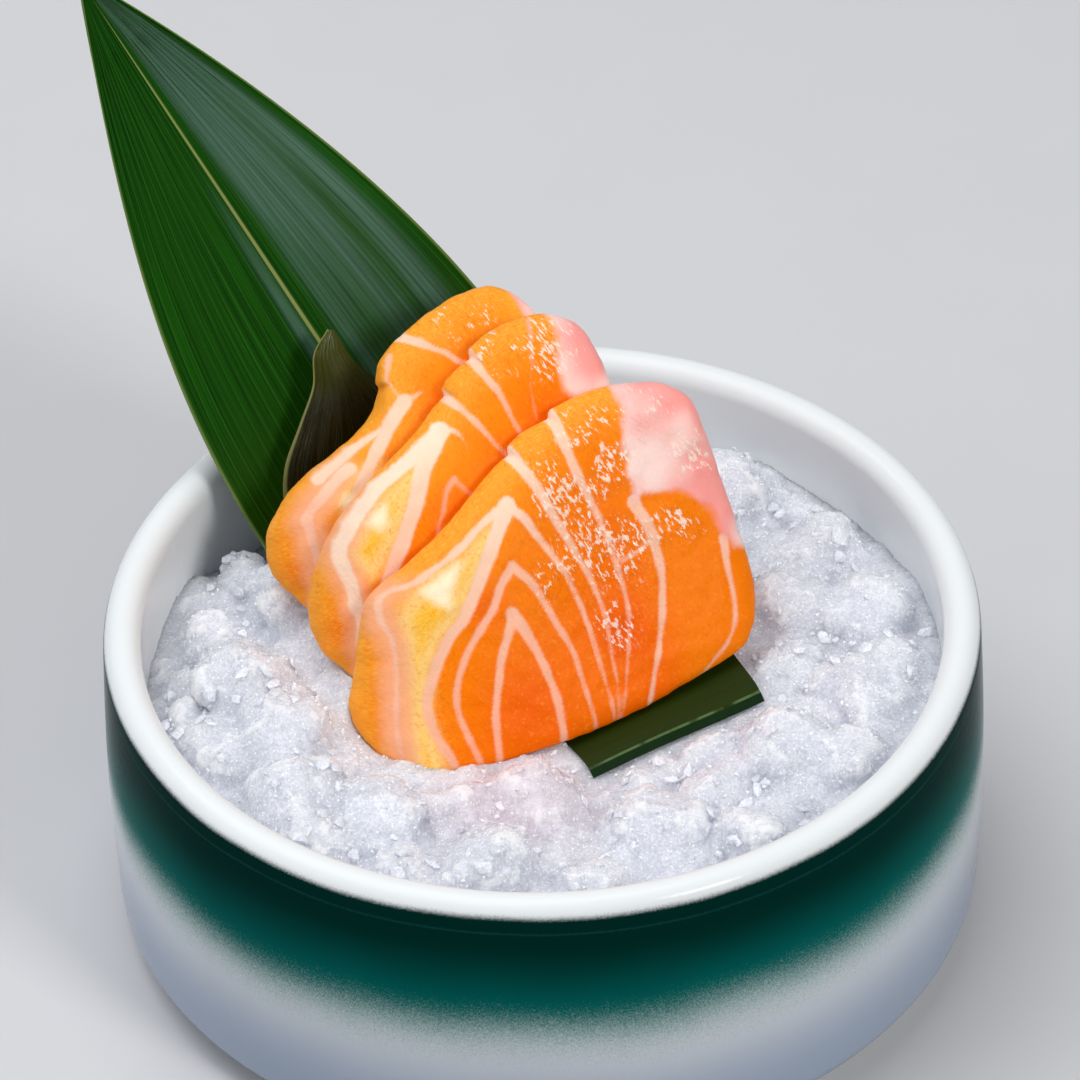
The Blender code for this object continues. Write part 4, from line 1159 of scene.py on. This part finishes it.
def iceMaterial(name, dull, bright, depth, bump, ridgeLightAndShade=False):
    material, tree, shader = newMaterial(name)
    place = coordinates(tree)
    broad = noiseValue(tree, place, 130.0, 3.0)
    fine = noiseValue(tree, place, 1300.0, 3.0, 0.65)
    sugar = noiseValue(tree, place, 700.0, 4.0, 0.7)
    grain = noiseValue(tree, place, 2100.0, 2.0, 0.6)
    cells = tree.nodes.new("ShaderNodeTexVoronoi")
    put(tree, cells.inputs["Vector"], place)
    cells.inputs["Scale"].default_value = 2200.0
    chosen = tree.nodes.new("ShaderNodeSeparateColor")
    tree.links.new(cells.outputs["Color"], chosen.inputs[0])
    # painted glints: random small cells painted white, as small crystals that catch the light
    paintedSpark = times(tree, stepUp(tree, chosen.outputs[0], 0.86, 0.92),
                  stepUp(tree, cells.outputs["Distance"], 0.5, 0.3))
    tint = layered(
        tree, blendColour(tree, stepUp(tree, broad, 0.32, 0.68), dull, bright),
        (stepUp(tree, sugar, 0.52, 0.64), 0.35, frost["sugar"][0]),
        (stepUp(tree, sugar, 0.46, 0.36), 0.15, frost["sugar"][1]),
        (stepUp(tree, grain, 0.50, 0.62), 0.4, frost["grain"][0]),
        (stepUp(tree, grain, 0.50, 0.38), 0.35, frost["grain"][1]))
    tint = blendColour(tree, paintedSpark, tint, frost["paintedSpark"])
    # painted light and shade: white on the sharp ridges, greyer in the hollows
    if ridgeLightAndShade:
        ridge = plus(tree, attribute(tree, "ridge"), swing(tree, fine, 0.5))
        tint = layered(
            tree, tint,
            (stepUp(tree, ridge, -0.2, -1.1), 0.22, frost["ridge"][0]),
            (stepUp(tree, ridge, 0.22, 0.85), 0.75, frost["ridge"][1]))
    # a faint blush from the fish, just in front of it
    near = tree.nodes.new("ShaderNodeVectorMath")
    near.operation = "DISTANCE"
    tree.links.new(place, near.inputs[0])
    near.inputs[1].default_value = frost["blushPlace"]
    blush = stepUp(tree, near.outputs["Value"], *frost["blushReach"])
    tint = layered(tree, tint, (blush, 0.3, frost["blush"]))
    tree.links.new(tint, shader.inputs["Base Color"])
    shader.inputs["Roughness"].default_value = frost["roughness"]
    shader.inputs["IOR"].default_value = frost["bending"]
    shader.inputs["Subsurface Weight"].default_value = depth
    shader.inputs["Subsurface Radius"].default_value = (1.0, 1.0, 1.0)
    shader.inputs["Subsurface Scale"].default_value = frost["depthScale"]
    bumped(tree, shader, plus(tree, fine, sugar), bump)
    return material


toppings = [obj for obj in bpy.data.objects if obj.name.startswith(("cut_", "blade_"))]
surroundings = treeOf(toppings + [bowlPiece])
iceBed = makeIceBed(surroundings)
finishPiece(iceBed, iceMaterial("ice_bed", *frost["bed"], ridgeLightAndShade=True), "ice", "ice")
print("ice bed", len(iceBed.data.polygons))

# the part of the heap under the cut stays as it was packed
iceBase = cadCopy("ice", "ice_base")
cutAt(iceBase, ice["cut"], False)
finishPiece(iceBase, iceBed.data.materials[0], "ice")

plates = [makeCrystal(index, 0.8, 0.4) for index in range(6)]
specks = [makeCrystal(10 + index, 0.6, 0.8) for index in range(4)]
flakes = scattered("ice_flakes", iceBed, surroundings, plates, *loose["flakes"])
grains = scattered("ice_grains", iceBed, surroundings, specks, *loose["grains"])
for kind in plates + specks:
    bpy.data.objects.remove(kind, do_unlink=True)
finishPiece(flakes, iceMaterial("ice_flakes", *frost["flakes"]), "ice")
finishPiece(grains, iceMaterial("ice_grains", *frost["grains"]), "ice")
print("ice flakes", len(flakes.data.polygons), "grains", len(grains.data.polygons))


# floor, light and camera
def floorMaterial(colour, roughness):
    material, tree, shader = newMaterial("floor")
    speckle = noiseValue(tree, coordinates(tree), 40.0, 3.0)
    tree.links.new(blendColour(tree, speckle, colour, [c * 0.97 for c in colour[:3]] + [1.0]),
                   shader.inputs["Base Color"])
    shader.inputs["Roughness"].default_value = roughness
    return material


startObjectMode()
bpy.ops.mesh.primitive_plane_add(size=8)
floor = bpy.context.object
floor.name = "floor"
floor.location.z = -0.0002
floor.data.materials.append(floorMaterial(srgb(206, 206, 208), 0.6))

lamps = {
    "key": {"place": (0.72, -0.86, 1.00), "size": 0.34, "power": 8.6, "colour": (1.0, 0.98, 0.95)},
    "overhead": {"place": (-0.35, 0.2, 1.25), "size": 1.1, "power": 12.4, "colour": (0.97, 0.98, 1.0)},
    "left": {"place": (-1.1, -0.35, 0.7), "size": 0.7, "power": 2.2, "colour": (0.96, 0.98, 1.0)},
}
studio = {"colour": (0.86, 0.88, 0.92, 1), "strength": 0.3}
# the camera's axes fit the ellipse of the rim and the slope of the wall
view = {
    "lens": 266.7, "sensor": 36, "near": 0.05, "far": 20, "place": (0, -1.03688, 0.947938),
    "axes": ((0.999553053, -0.0193006994, -0.0228293045), (0.0298946081, 0.643264737, 0.765059991),
             (-8.09063853e-05, -0.765400523, 0.643554219)),
}
for name, facts in lamps.items():
    data = bpy.data.lights.new(name, "AREA")
    data.shape = "SQUARE"
    data.size = facts["size"]
    data.energy = facts["power"]
    data.color = facts["colour"]
    lamp = bpy.data.objects.new(name, data)
    lamp.location = facts["place"]
    aim = Vector((0, 0, 0.05)) - lamp.location
    lamp.rotation_euler = aim.to_track_quat("-Z", "Y").to_euler()
    bpy.context.scene.collection.objects.link(lamp)

world = bpy.data.worlds.new("studio")
world.use_nodes = True
world.node_tree.nodes["Background"].inputs["Color"].default_value = studio["colour"]
world.node_tree.nodes["Background"].inputs["Strength"].default_value = studio["strength"]
bpy.context.scene.world = world
bpy.context.scene.view_settings.view_transform = "Standard"

cameraData = bpy.data.cameras.new("camera")
cameraData.lens = view["lens"]
cameraData.sensor_width = view["sensor"]
cameraData.clip_start = view["near"]
cameraData.clip_end = view["far"]
camera = bpy.data.objects.new("camera", cameraData)
camera.matrix_world = Matrix.Translation(view["place"]) @ Matrix(view["axes"]).transposed().to_4x4()
bpy.context.scene.collection.objects.link(camera)
bpy.context.scene.camera = camera

print("done")
